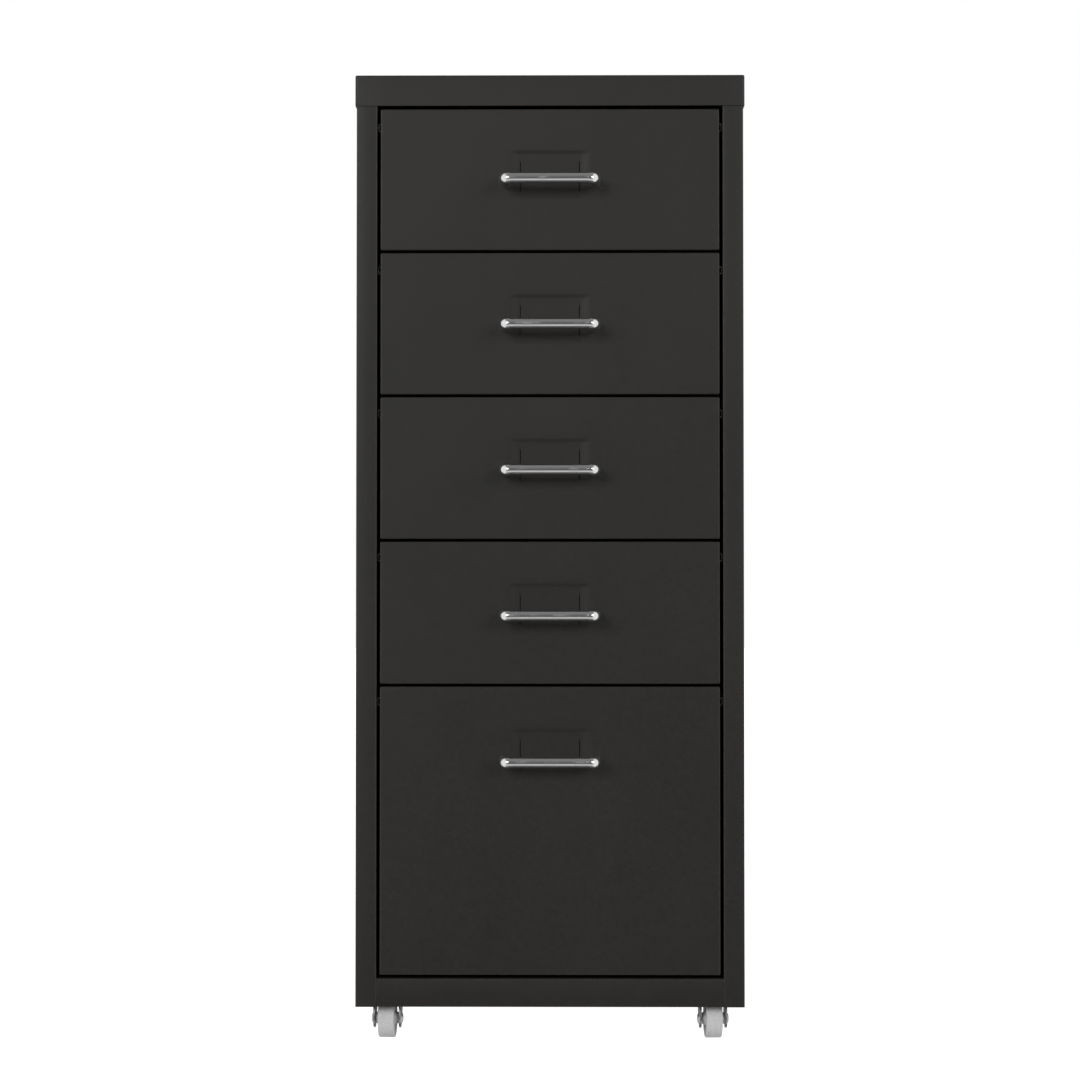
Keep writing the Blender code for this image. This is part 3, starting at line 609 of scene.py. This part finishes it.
# %% Drawer fronts
DRAWERS = (1, 2, 3, 4, 5)
DRAWER_SHEET = 0.0006
RECESS_HALF = 0.0300
RECESS_ABOVE = 0.0233  # above the handle
RECESS_BELOW = 0.0160
RECESS_DEPTH = 0.00065
RECESS_WALL = 0.0032  # how far its top wall runs
RECESS_SIDE_WALL = 0.0090
RECESS_FOOT_WALL = 0.0200
SLIT_X = 0.02125
SLIT_HALF = 0.00027
SLIT_ABOVE = 0.0150
SLIT_BELOW = 0.0065
SCREW_X = (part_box("drawer_1_screw_right")[0].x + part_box("drawer_1_screw_right")[1].x) / 2
SCREW_OPENING = 0.0021
FRONT_CORNER = 0.0012


def smooth_step(x):
    """0 below 0, 1 above 1, and 3 x^2 - 2 x^3 between them."""
    x = np.clip(x, 0, 1)
    return x * x * (3 - 2 * x)


def handle_height(number):
    low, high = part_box(f"drawer_{number}_handle")
    return (low.z + high.z) / 2


def make_front(number):
    """A pan whose middle is pressed in by depth * side step * top step * foot step. Lines are added to the
    grid where the pressing, the slits and the screw openings need them."""
    node = f"drawer_{number}_front"
    low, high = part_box(node)
    middle = (low.z + high.z) / 2
    handle = handle_height(number) - middle
    half_a, half_b = (high.x - low.x) / 2, (high.z - low.z) / 2
    wall = np.linspace(0, RECESS_WALL, 9)
    foot_wall = np.linspace(0, RECESS_FOOT_WALL, 13)
    side_wall = np.linspace(0, RECESS_SIDE_WALL, 11)
    across = [RECESS_HALF - side_wall, [SLIT_X - SLIT_HALF, SLIT_X + SLIT_HALF]]
    across += [[SCREW_X - SCREW_OPENING, SCREW_X + SCREW_OPENING], np.linspace(0, half_a, 14)]
    across = np.concatenate(across)
    openings = [SLIT_ABOVE, -SLIT_BELOW, SCREW_OPENING, -SCREW_OPENING]
    up = np.concatenate([RECESS_ABOVE - wall, foot_wall - RECESS_BELOW, openings]) + handle
    up = np.concatenate([up, np.linspace(-half_b, half_b, 17)])
    rim = [(0, 0), (0, high.y - low.y)]
    a, b, back, bent, _ = pan(half_a, half_b, FRONT_CORNER, rim, np.union1d(-across, across), up)
    above = b - handle
    side_step = smooth_step((RECESS_HALF - abs(a)) / RECESS_SIDE_WALL)
    top_step = smooth_step((RECESS_ABOVE - above) / RECESS_WALL)
    foot_step = smooth_step((above + RECESS_BELOW) / RECESS_FOOT_WALL)
    pressed = RECESS_DEPTH * side_step * top_step * foot_step
    points = np.stack([a, low.y + back + pressed, middle + b], axis=-1)
    mid_a, mid_up = abs(cells(a)), cells(above)
    slit = (abs(mid_a - SLIT_X) < SLIT_HALF) & (mid_up < SLIT_ABOVE) & (mid_up > -SLIT_BELOW)
    screw = (abs(mid_a - SCREW_X) < SCREW_OPENING) & (abs(mid_up) < SCREW_OPENING)
    mesh = surface(f"front_{number}", points, ~(slit | screw), wear=bent, outside=(0, -1, 0))
    return place(mesh, "powder_coat", f"drawer_{number}", node, sheet=DRAWER_SHEET)


for number in DRAWERS:
    front = make_front(number)
    print(front.name, len(front.data.polygons), "faces")

# %% [markdown]
# ## Trays
#
# A tray hangs from its two side lips. It is one pan again: its rim goes up to the lip and out, and the grid
# leaves out the lip at the front and rear and most of the front wall, which the drawer front stands in for.

# %% Trays
TRAY_SILL = 0.012  # height of what is left of the front wall
TRAY_POST = 0.008  # width of its upright ends
TRAY_CORNER = 0.0018
LIP_ABOVE_RUNNER = 0.0013
TRAY_TO_RUNNER = 0.0010


def make_tray(number):
    """A pan whose outer face is underneath. What a tray lacks at its front and rear is left out of the
    grid."""
    node = f"drawer_{number}_tray"
    low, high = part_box(node)
    runner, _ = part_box(f"runner_right_{number}")
    lip_front = runner.y
    tray_half = runner.x - TRAY_TO_RUNNER
    lip = high.x - tray_half
    half_b = (high.y - low.y) / 2
    wall = runner.z + LIP_ABOVE_RUNNER - low.z
    rim = [(0, 0), (0, wall), (lip, wall)]
    spread = np.linspace(-1, 1, 9)
    y_middle = (low.y + high.y) / 2
    flat_b = np.concatenate([spread * half_b, [lip_front - y_middle]])
    post_line = tray_half - TRAY_POST
    flat_a = np.concatenate([spread * tray_half, [post_line, -post_line]])
    a, b, back, bent, (over_a, over_b, along) = pan(tray_half, half_b, TRAY_CORNER, rim, flat_a, flat_b)
    over_a, over_b = cells(over_a), cells(over_b)
    rise, place_a, place_b = cells(back), cells(a), cells(b)
    far = np.maximum(abs(over_a), abs(over_b))
    on_lip = far > along[-1] - lip
    at_side = (abs(over_a) > 0) & (over_b == 0) & (place_b > lip_front - y_middle)
    low_front = (over_b < 0) & (abs(place_a) < post_line) & (rise > TRAY_SILL)
    keep = ~low_front & (~on_lip | at_side)
    points = np.stack([a, y_middle + b, low.z + back], axis=-1)
    mesh = surface(f"tray_{number}", points, keep, wear=bent, outside=(0, 0, -1))
    place(mesh, "powder_coat", f"drawer_{number}", node, sheet=DRAWER_SHEET)


for number in DRAWERS:
    make_tray(number)

# %% [markdown]
# ## Handles
#
# A handle is a bow of 8 mm wire with a shoulder at each foot. The wire is a circle carried along the bow:
# out from the drawer, round a bend, across and back. Each ring of points lies square to the wire's
# direction.

# %% Handles
SHOULDER = 0.0045  # radius at the foot
SHOULDER_LENGTH = 0.0024
KNUCKLE = 0.0045  # radius where the wire turns
KNUCKLE_BEND = 0.0047
WIRE_FULLNESS = 1.06  # of the plain wire's radius
FOOT_EASE = 0.0006
RING = np.linspace(0, 2 * np.pi, 32, endpoint=False)


def tube(path, radius):
    """Rings round a level path of (x, y) points. A ring's side is the path's direction turned a quarter."""
    along = np.gradient(path, axis=0)
    along /= np.linalg.norm(along, axis=1, keepdims=True)
    side = np.stack([-along[:, 1], along[:, 0], 0 * along[:, 0]], axis=-1)
    centre = np.concatenate([path, np.zeros((len(path), 1))], axis=1)
    lift = np.array([0, 0, 1.0])
    ring = np.cos(RING)[None, :, None] * side[:, None] + np.sin(RING)[None, :, None] * lift
    return centre[:, None] + radius[:, None, None] * ring


def make_handle(number):
    """A tube along the bow. Its radius is the wire's, plus a shoulder at each foot and a knuckle at each
    bend."""
    node = f"drawer_{number}_handle"
    low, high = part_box(node)
    wire = (high.z - low.z) / 2 * WIRE_FULLNESS
    outer, inner = low.y + wire, high.y
    bow = [(-SCREW_X, inner), (-SCREW_X, outer), (SCREW_X, outer), (SCREW_X, inner)]
    along, path, bent = rounded(bow, KNUCKLE_BEND, steps=14)
    stops = SHOULDER_LENGTH * np.array([0.7, 0.9, 1.0])
    stops = np.concatenate([[0, 0.0002, FOOT_EASE], stops, [0.004]])
    stations = np.union1d(along, np.concatenate([stops, along[-1] - stops, np.linspace(0, along[-1], 30)]))
    path = np.stack([np.interp(stations, along, path[:, k]) for k in (0, 1)], axis=-1)
    from_foot = np.minimum(stations, along[-1] - stations)
    swell = 1 - smooth_step((from_foot - SHOULDER_LENGTH * 0.6) / (SHOULDER_LENGTH * 0.8))
    eased = np.minimum(from_foot / FOOT_EASE, 1)
    knuckle = (KNUCKLE - wire) * np.interp(stations, along, bent)
    radius = wire + (SHOULDER - wire) * swell + knuckle - 0.0004 * (1 - eased)
    points = tube(path, radius) + np.array([0, 0, handle_height(number)])
    place(surface(f"handle_{number}", points, tube=True), "chrome", f"drawer_{number}", node)


for number in DRAWERS:
    make_handle(number)
print("handles", [round(handle_height(number), 3) for number in DRAWERS], "m above the floor")

# %% [markdown]
# ## Turned pieces
#
# Screws, wheels, rivets, stems and nuts are turned: a profile spun about an axis. Some are not quite round.
# A hex nut is a hexagon whose corners a cone has taken off, so its radius is the smaller of the hexagon's
# and the cone's. A thread is a radius that rises and falls along the axis and winds round it.

# %% Turning
def turned(profile, sides=48):
    """Rings about the Z axis from (height, radius) rows. A radius can also be a function of the angle."""
    angle = np.linspace(0, 2 * np.pi, sides, endpoint=False)
    rings = []
    for height, radius in profile:
        r = radius(angle) if callable(radius) else np.full(sides, radius)
        rings.append(np.stack([r * np.cos(angle), r * np.sin(angle), np.full(sides, height)], axis=-1))
    return np.array(rings)


def hexagon(flats, cone):
    """Radius at an angle of a hexagon flats wide, cut back to a circle of radius cone."""
    return lambda angle: np.minimum(flats / 2 / np.cos(angle % (np.pi / 3) - np.pi / 6), cone)


def laid_along_x(points):
    return points[..., [2, 0, 1]]


def laid_along_y(points):
    return points[..., [1, 2, 0]]


# %% [markdown]
# ## Handle screws
#
# Two pan-head screws come from inside the drawer into each handle. The cross in the head is pressed: where
# a point lies close to either line of the cross, the head's surface is pushed down.

# %% Handle screws
SCREW_HEAD = 0.0024  # height
SCREW_SHANK = 0.0018  # radius
HEAD_FULLNESS = 1.02  # of the plain head's radius


def make_screws(number):
    """A turned screw whose head is pressed in by a cross: depth * along either arm * near the middle."""
    low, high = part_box(f"drawer_{number}_screw_right")
    head, tip = (high.x - low.x) / 2 * HEAD_FULLNESS, low.y
    seat, crown = high.y - SCREW_HEAD, high.y
    share = np.linspace(1, 0.02, 15)
    dome = [(seat + (crown - seat) * (0.45 + 0.55 * np.sqrt(1 - s * s)), head * s) for s in share]
    shank = [(tip, 0.0008), (tip + 0.0012, SCREW_SHANK), (seat, SCREW_SHANK), (seat, head)]
    points = turned(shank + dome, sides=72)
    radius = np.hypot(points[..., 0], points[..., 1])
    arm = np.minimum(abs(points[..., 0]), abs(points[..., 1]))
    on_top = points[..., 2] > seat + 0.0010
    cross = on_top * smooth_step((0.0008 - arm) / 0.0003) * smooth_step((0.0022 - radius) / 0.0005)
    points[..., 2] -= 0.0012 * cross
    height = handle_height(number)
    for hand, sign in (("left", -1), ("right", 1)):
        placed = laid_along_y(points) + np.array([sign * SCREW_X, 0, height])
        mesh = surface(f"screw_{number}_{hand}", placed, tube=True)
        place(mesh, "zinc", f"drawer_{number}", f"drawer_{number}_screw_{hand}")


for number in DRAWERS:
    make_screws(number)
print("screws:", 2 * len(DRAWERS), "at", round(SCREW_X * 1000, 1), "mm from the middle")

# %% [markdown]
# ## Runners
#
# A runner is a folded channel: a ledge that the tray's lip slides on, an upright web, and a keeper over the
# front of the lip that stops the drawer tipping when it is open. Two feet reach back to the side of the
# case.

# %% Runners
RUNNER_SHEET = 0.0010
KEEPER_WIDTH = 0.007
KEEPER_LENGTH = 0.080
FOOT_LENGTH = 0.014
LEDGE = 0.0117  # from its inner edge to the web
RUNNER_BEND = 0.0013
STOP_DROP = 0.0034


def make_runner(number, hand, sign):
    """The channel is one carried section, its keeper cut short. The feet and the stop are small sheets of
    their own."""
    node = f"runner_{hand}_{number}"
    low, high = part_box(node)
    inner, outer = min(abs(low.x), abs(high.x)), max(abs(low.x), abs(high.x))
    web = inner + LEDGE
    front, rear = low.y + RUNNER_SHEET, high.y - RUNNER_SHEET
    bottom, top = low.z, high.z
    stop = front + KEEPER_LENGTH
    corners = [(inner, bottom), (web, bottom), (web, top), (web - KEEPER_WIDTH, top)]
    _, section, _ = rounded(corners, RUNNER_BEND, steps=4)
    places = np.union1d(np.linspace(front, rear, 13), [front + 0.0015, stop, rear - 0.0015])
    points = carried(section, places, (0, 2, 1))
    points[..., 0] *= sign
    height, along = cells(points[..., 2]), cells(points[..., 1])
    keeper = (height > top - RUNNER_BEND) & (along > stop)
    mesh = surface(f"runner_{number}_{hand}", points, ~keeper, outside=(sign, 0, 0))
    place(mesh, "zinc", "case", node, sheet=RUNNER_SHEET)
    reach = outer - RUNNER_SHEET
    for end, way, where in ((front, 1, "front"), (rear, -1, "rear")):
        corners = [(web, end), (reach, end), (reach, end + way * FOOT_LENGTH)]
        _, section, _ = rounded(corners, 0.0011, steps=4)
        points = carried(section, np.linspace(bottom, top, 3), (0, 1, 2))
        points[..., 0] *= sign
        mesh = surface(f"runner_{number}_{hand}_{where}_foot", points, outside=(-sign, way, 0))
        place(mesh, "zinc", "case", sheet=RUNNER_SHEET)
    drop = np.zeros((2, 2, 3))
    drop[..., 0] = sign * np.array([[web - KEEPER_WIDTH], [web - RUNNER_BEND]])
    drop[..., 1] = stop
    drop[..., 2] = [top - STOP_DROP, top]
    mesh = surface(f"runner_{number}_{hand}_stop", drop, outside=(0, 1, 0))
    place(mesh, "zinc", "case", sheet=RUNNER_SHEET)


for number in DRAWERS:
    make_runner(number, "left", -1)
    make_runner(number, "right", 1)
print("runners:", 2 * len(DRAWERS))

# %% [markdown]
# ## Casters
#
# Each caster is worked out straight ahead, with its swivel axis on the Z axis, and then turned and moved to
# where its joints say. The wheel comes first: a tread, a dished side and a hub that stands proud of it.

# %% Caster wheels
WHEEL_SPIN = 64


def to_caster(points, corner):
    """Turns and moves points from a straight-ahead caster at the origin to one corner of the chest."""
    centre = np.array(joints[f"caster_{corner}_swivel"]["pos_m"])
    cos, sin, _ = joints[f"caster_{corner}_roll"]["axis"]
    turn = np.array([[cos, sin, 0], [-sin, cos, 0], [0, 0, 1]])
    return points @ turn + np.array([centre[0], centre[1], 0])


def axle_place(corner):
    """How far ahead of the swivel axis the axle is, and its height."""
    roll = np.array(joints[f"caster_{corner}_roll"]["pos_m"])
    swivel = np.array(joints[f"caster_{corner}_swivel"]["pos_m"])
    return np.hypot(*(roll - swivel)[:2]), roll[2]


TRAIL, AXLE_Z = axle_place("front_left")
WHEEL_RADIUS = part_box("caster_front_left_wheel")[1].z - AXLE_Z
WHEEL_HALF = 0.0059  # half its width
HUB_PROUD = 0.0023
SHOULDER_ROUND = 0.0010


def make_wheel(corner):
    """Half a profile, mirrored: a tread with rounded shoulders, a dished side and a hub."""
    tread = WHEEL_RADIUS
    angle = np.linspace(0, np.pi / 2, 6)
    inward = SHOULDER_ROUND * (1 - np.sin(angle))
    shoulder = list(zip(WHEEL_HALF - inward, tread - SHOULDER_ROUND * (1 - np.cos(angle))))
    half = [(0.0002, tread - 0.00012), (0.0004, tread)] + shoulder
    dish = [(0, 0.0112), (-0.0004, 0.0107), (-0.0009, 0.0102), (-0.0009, 0.0058), (-0.0005, 0.0050)]
    hub = [(0.0010, 0.0044), (HUB_PROUD - 0.0003, 0.0040), (HUB_PROUD, 0.0036), (HUB_PROUD, 0.0017)]
    half += [(WHEEL_HALF + out, r) for out, r in dish + hub]
    profile = [(-x, r) for x, r in half[::-1]] + half
    points = turned(profile, WHEEL_SPIN)
    worn = np.clip((np.hypot(points[..., 0], points[..., 1]) - 0.0125) / 0.001, 0, 1)
    points = laid_along_x(points) + np.array([0, -TRAIL, AXLE_Z])
    mesh = surface(f"wheel_{corner}", to_caster(points, corner), tube=True, wear=worn)
    place(mesh, "wheel_plastic", f"caster_{corner}_rolling", f"caster_{corner}_wheel")


for corner in CORNERS:
    make_wheel(corner)
print("wheels:", round(WHEEL_RADIUS * 2000, 1), "mm across, trailing by", round(TRAIL * 1000, 1), "mm")

# %% [markdown]
# The fork is one strip of steel bent into an arch: its crown lies under the ball race, and its two legs
# narrow to rounded toes, each with a boss pressed outwards round the axle.

# %% Caster forks
FORK_SHEET = 0.0012
FORK_OUT = 0.0098  # from the middle to the outer face of a leg
CROWN_HALF = 0.0100
TOE = 0.0070  # radius
BOSS_RADIUS = 0.0047
BOSS_HEIGHT = 0.0011
FORK_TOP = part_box("caster_front_left_fork")[1].z


def make_fork(corner):
    """The strip's section runs up one leg, across the crown and down the other. At each height it reaches
    from one side edge to the other, and both edges close in round the toe."""
    toe_z = AXLE_Z - TOE + 0.0001
    legs = [(-FORK_OUT, toe_z), (-FORK_OUT, FORK_TOP), (FORK_OUT, FORK_TOP), (FORK_OUT, toe_z)]
    along, section, _ = rounded(legs, 0.0024, steps=6)
    round_toe = TOE - TOE * np.cos(np.linspace(0, np.pi / 2, 9))
    leg = np.concatenate([round_toe, np.linspace(TOE, along[-1] / 2, 16)])
    stations = np.union1d(along, np.concatenate([leg, along[-1] - leg]))
    x = np.interp(stations, along, section[:, 0])
    z = np.interp(stations, along, section[:, 1])
    below = np.clip((AXLE_Z - z) / TOE, 0, 1)
    toe_half = TOE * np.sqrt(1 - below**2)
    rise = np.clip((z - AXLE_Z) / (FORK_TOP - AXLE_Z), 0, 1)
    ahead = np.where(z < AXLE_Z, -TRAIL - toe_half, -TRAIL - TOE + (TRAIL + TOE - CROWN_HALF) * rise**2.2)
    behind = np.where(z < AXLE_Z, -TRAIL + toe_half, -TRAIL + TOE + (TRAIL - TOE + CROWN_HALF) * rise**0.8)
    share = np.linspace(0, 1, 21)
    y = ahead[:, None] + (behind - ahead)[:, None] * share
    from_axle = np.hypot(y + TRAIL, (z - AXLE_Z)[:, None])
    on_leg = smooth_step((FORK_TOP - 0.004 - z) / 0.002)[:, None]
    boss = BOSS_HEIGHT * smooth_step((BOSS_RADIUS - from_axle) / 0.0018) * on_leg
    x = x[:, None] + np.sign(x)[:, None] * boss
    points = np.stack([x, y, np.broadcast_to(z[:, None], x.shape)], axis=-1)
    mesh = surface(f"fork_{corner}", to_caster(points, corner), outside=(0, 0, 1))
    place(mesh, "zinc", f"caster_{corner}_swivelling", f"caster_{corner}_fork", sheet=FORK_SHEET)


for corner in CORNERS:
    make_fork(corner)
print("forks:", round(2 * FORK_OUT * 1000, 1), "mm across the legs")

# %% [markdown]
# The axle is a rivet with a domed head on each side. The stem is one turned piece: a riveted end under the
# crown, the ball race in two pressed cups with a dark line between them, a hexagonal collar for the
# spanner, and a threaded stud that passes through the base. A nut clamps it from inside.

# %% Caster axles, stems and nuts
THREAD_PITCH = 0.0010
THREAD_DEPTH = 0.00035
STUD_RADIUS = 0.0030
COLLAR_FLATS = 0.0130  # across flats
AXLE_RADIUS = 0.0015
AXLE_HEAD = 0.0034  # radius
AXLE_DOME = 0.0009  # height


def make_axle(corner):
    seat = FORK_OUT + 0.0007
    dome = [(seat + AXLE_DOME * np.sqrt(1 - s * s), AXLE_HEAD * s) for s in np.linspace(0.98, 0.03, 8)]
    half = [(0.0, AXLE_RADIUS), (seat, AXLE_RADIUS), (seat, AXLE_HEAD)] + dome
    profile = [(-x, r) for x, r in half[:0:-1]] + half
    points = laid_along_x(turned(profile, 32)) + np.array([0, -TRAIL, AXLE_Z])
    mesh = surface(f"axle_{corner}", to_caster(points, corner), tube=True)
    place(mesh, "zinc", f"caster_{corner}_swivelling", f"caster_{corner}_axle")


def make_stem(corner):
    """One profile from the bottom up: rivet, lower cup, groove, upper cup, collar, stud."""
    low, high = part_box(f"caster_{corner}_stem")
    race, race_top = FORK_TOP + 0.0003, FORK_TOP + 0.0048
    collar, eased_collar = hexagon(COLLAR_FLATS, 0.0073), hexagon(COLLAR_FLATS, 0.0066)
    base_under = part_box(f"caster_{corner}_nut")[0].z - 0.0013
    bulge = np.linspace(0, np.pi, 9)
    lower = [(race + 0.0003 + 0.0017 * t / np.pi, 0.0078 + 0.0009 * np.sin(t)) for t in bulge]
    upper = [(race + 0.0024 + 0.0018 * t / np.pi, 0.0072 + 0.0012 * np.sin(t)) for t in bulge]
    profile = [(low.z, 0.0040), (low.z + 0.0003, 0.0053), (low.z + 0.0012, 0.0055)]
    profile += [(low.z + 0.0012, STUD_RADIUS), (race, STUD_RADIUS), (race, 0.0076)]
    profile += lower + [(race + 0.0022, 0.0066)] + upper + [(race_top, 0.0068)]
    profile += [(race_top, eased_collar), (race_top + 0.0004, collar)]
    profile += [(base_under - 0.0004, collar), (base_under, eased_collar)]
    turns = np.linspace(base_under, high.z - 0.0004, 60)
    profile += [(z, thread(z)) for z in turns] + [(high.z, 0.0024)]
    points = turned(profile, 48)
    mesh = surface(f"stem_{corner}", to_caster(points, corner), tube=True)
    place(mesh, "zinc", "case", f"caster_{corner}_stem")


def thread(z):
    """Radius of a thread at one height: a rounded ridge that winds once round for each pitch."""
    return lambda angle: STUD_RADIUS - THREAD_DEPTH * (0.5 - 0.5 * np.cos(2 * np.pi * z / THREAD_PITCH - angle))


def make_nut(corner):
    low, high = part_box(f"caster_{corner}_nut")
    tall = high.z - low.z
    full, cut = hexagon(0.0100, 0.0057), hexagon(0.0100, 0.0050)
    profile = [(0, 0.0033), (0, cut), (0.0004, full), (tall - 0.0004, full), (tall, cut), (tall, 0.0033)]
    points = turned(profile, 48) + np.array([0, 0, low.z])
    mesh = surface(f"nut_{corner}", to_caster(points, corner), tube=True)
    place(mesh, "zinc", "case", f"caster_{corner}_nut")


for corner in CORNERS:
    make_axle(corner)
    make_stem(corner)
    make_nut(corner)
print("studs: M" + str(round(2000 * STUD_RADIUS)), "with a pitch of", THREAD_PITCH * 1000, "mm")

# %% [markdown]
# ## The studio
#
# The chest stands on a pale floor under two large soft lamps, in front of it and a little above, one on
# each side. Chrome shows what is around it, so the surroundings matter as much as the lamps: a bright
# floor, a dim wall behind the camera and a grey ceiling give the wire a bright lower line, a dark middle
# and a grey top. The camera itself sees plain white.

# %% Floor, sky and lamps
FLOOR_REACH = 12.0
FLOOR_DROP = 0.0002  # just under the wheels
SKY_BANDS = [  # how far up a direction points, from -1 to 1, and the light from there
    (-1.0, 0.10), (-0.92, 0.14), (-0.84, 0.64), (-0.50, 0.64),
    (-0.38, 0.12), (0.30, 0.09), (0.62, 0.20), (0.9, 0.24),
]
SIDE_LIGHT = 0.95
SIDES_START, SIDES_FULL = 0.35, 0.70  # how far sideways a direction points


def make_floor():
    """Pale to the lamps and dim to reflections, but plain white to the camera."""
    floor = Finish("floor", roughness=0.8, Emission_Strength=1.0)
    mottle = floor.noise(0.6, detail=2)
    seen = floor.node("LightPath", output="Is Camera Ray")
    floor.feed("Base Color", floor.blend(mottle, grey(0.58), grey(0.62)))
    floor.feed("Emission Color", floor.blend(seen, grey(0.12), grey(1.0)))
    across = np.linspace(-FLOOR_REACH, FLOOR_REACH, 3)
    x, y = np.meshgrid(across, across, indexing="ij")
    mesh = surface("floor", np.stack([x, y, 0 * x - FLOOR_DROP], axis=-1), outside=(0, 0, 1))
    mesh.materials.append(floor.material)
    plane = bpy.data.objects.new("floor", mesh)
    plane.visible_glossy = False
    bpy.context.scene.collection.objects.link(plane)


def make_sky():
    """White to the camera. To everything else it is a ramp on how far up a direction points: dim ahead, a
    bright band low down, and grey overhead. Towards both sides it rises to a pale wall."""
    world = bpy.data.worlds.new("studio")
    world.use_nodes = True
    bpy.context.scene.world = world
    nodes, links = world.node_tree.nodes, world.node_tree.links
    direction = nodes.new("ShaderNodeTexCoord")
    split = nodes.new("ShaderNodeSeparateXYZ")
    height = nodes.new("ShaderNodeMapRange")
    height.inputs["From Min"].default_value = -1.0
    ramp = nodes.new("ShaderNodeValToRGB")
    stops = ramp.color_ramp.elements
    for _ in SKY_BANDS[2:]:
        stops.new(0.5)
    for stop, (up, light) in zip(stops, SKY_BANDS):
        stop.position = (up + 1) / 2
        stop.color = grey(light)
    rays = nodes.new("ShaderNodeLightPath")
    choose = nodes.new("ShaderNodeMix")
    choose.data_type = "RGBA"
    choose.inputs[7].default_value = grey(1.0)
    aside = nodes.new("ShaderNodeMath")
    aside.operation = "ABSOLUTE"
    walls = nodes.new("ShaderNodeMapRange")
    walls.interpolation_type = "SMOOTHSTEP"
    walls.inputs["From Min"].default_value = SIDES_START
    walls.inputs["From Max"].default_value = SIDES_FULL
    lit = nodes.new("ShaderNodeMix")
    lit.data_type = "RGBA"
    lit.inputs[7].default_value = grey(SIDE_LIGHT)
    links.new(split.outputs["X"], aside.inputs[0])
    links.new(aside.outputs[0], walls.inputs["Value"])
    links.new(walls.outputs["Result"], lit.inputs[0])
    links.new(ramp.outputs["Color"], lit.inputs[6])
    links.new(direction.outputs["Generated"], split.inputs["Vector"])
    links.new(split.outputs["Z"], height.inputs["Value"])
    links.new(height.outputs["Result"], ramp.inputs["Fac"])
    links.new(rays.outputs["Is Camera Ray"], choose.inputs[0])
    links.new(lit.outputs[2], choose.inputs[6])
    links.new(choose.outputs[2], nodes["Background"].inputs["Color"])


def make_lamp(name, place_at, aim, size, power):
    """A rectangular lamp turned so that it faces the point aim."""
    data = bpy.data.lights.new(name, "AREA")
    data.shape = "RECTANGLE"
    data.size, data.size_y = size
    data.energy = power
    lamp = bpy.data.objects.new(name, data)
    lamp.location = place_at
    away = np.array(place_at) - np.array(aim)
    level = np.hypot(away[0], away[1])
    lamp.rotation_euler = (np.arctan2(level, away[2]), 0, np.arctan2(away[0], -away[1]))
    bpy.context.scene.collection.objects.link(lamp)


make_floor()
make_sky()
middle = (0.0, -0.19, 0.4)
make_lamp("left_lamp", (-2.1, -4.9, 1.7), middle, (2.2, 1.5), 54)
make_lamp("right_lamp", (2.5, -4.7, 1.6), middle, (2.2, 1.5), 39)
bpy.context.scene.view_settings.view_transform = "Standard"
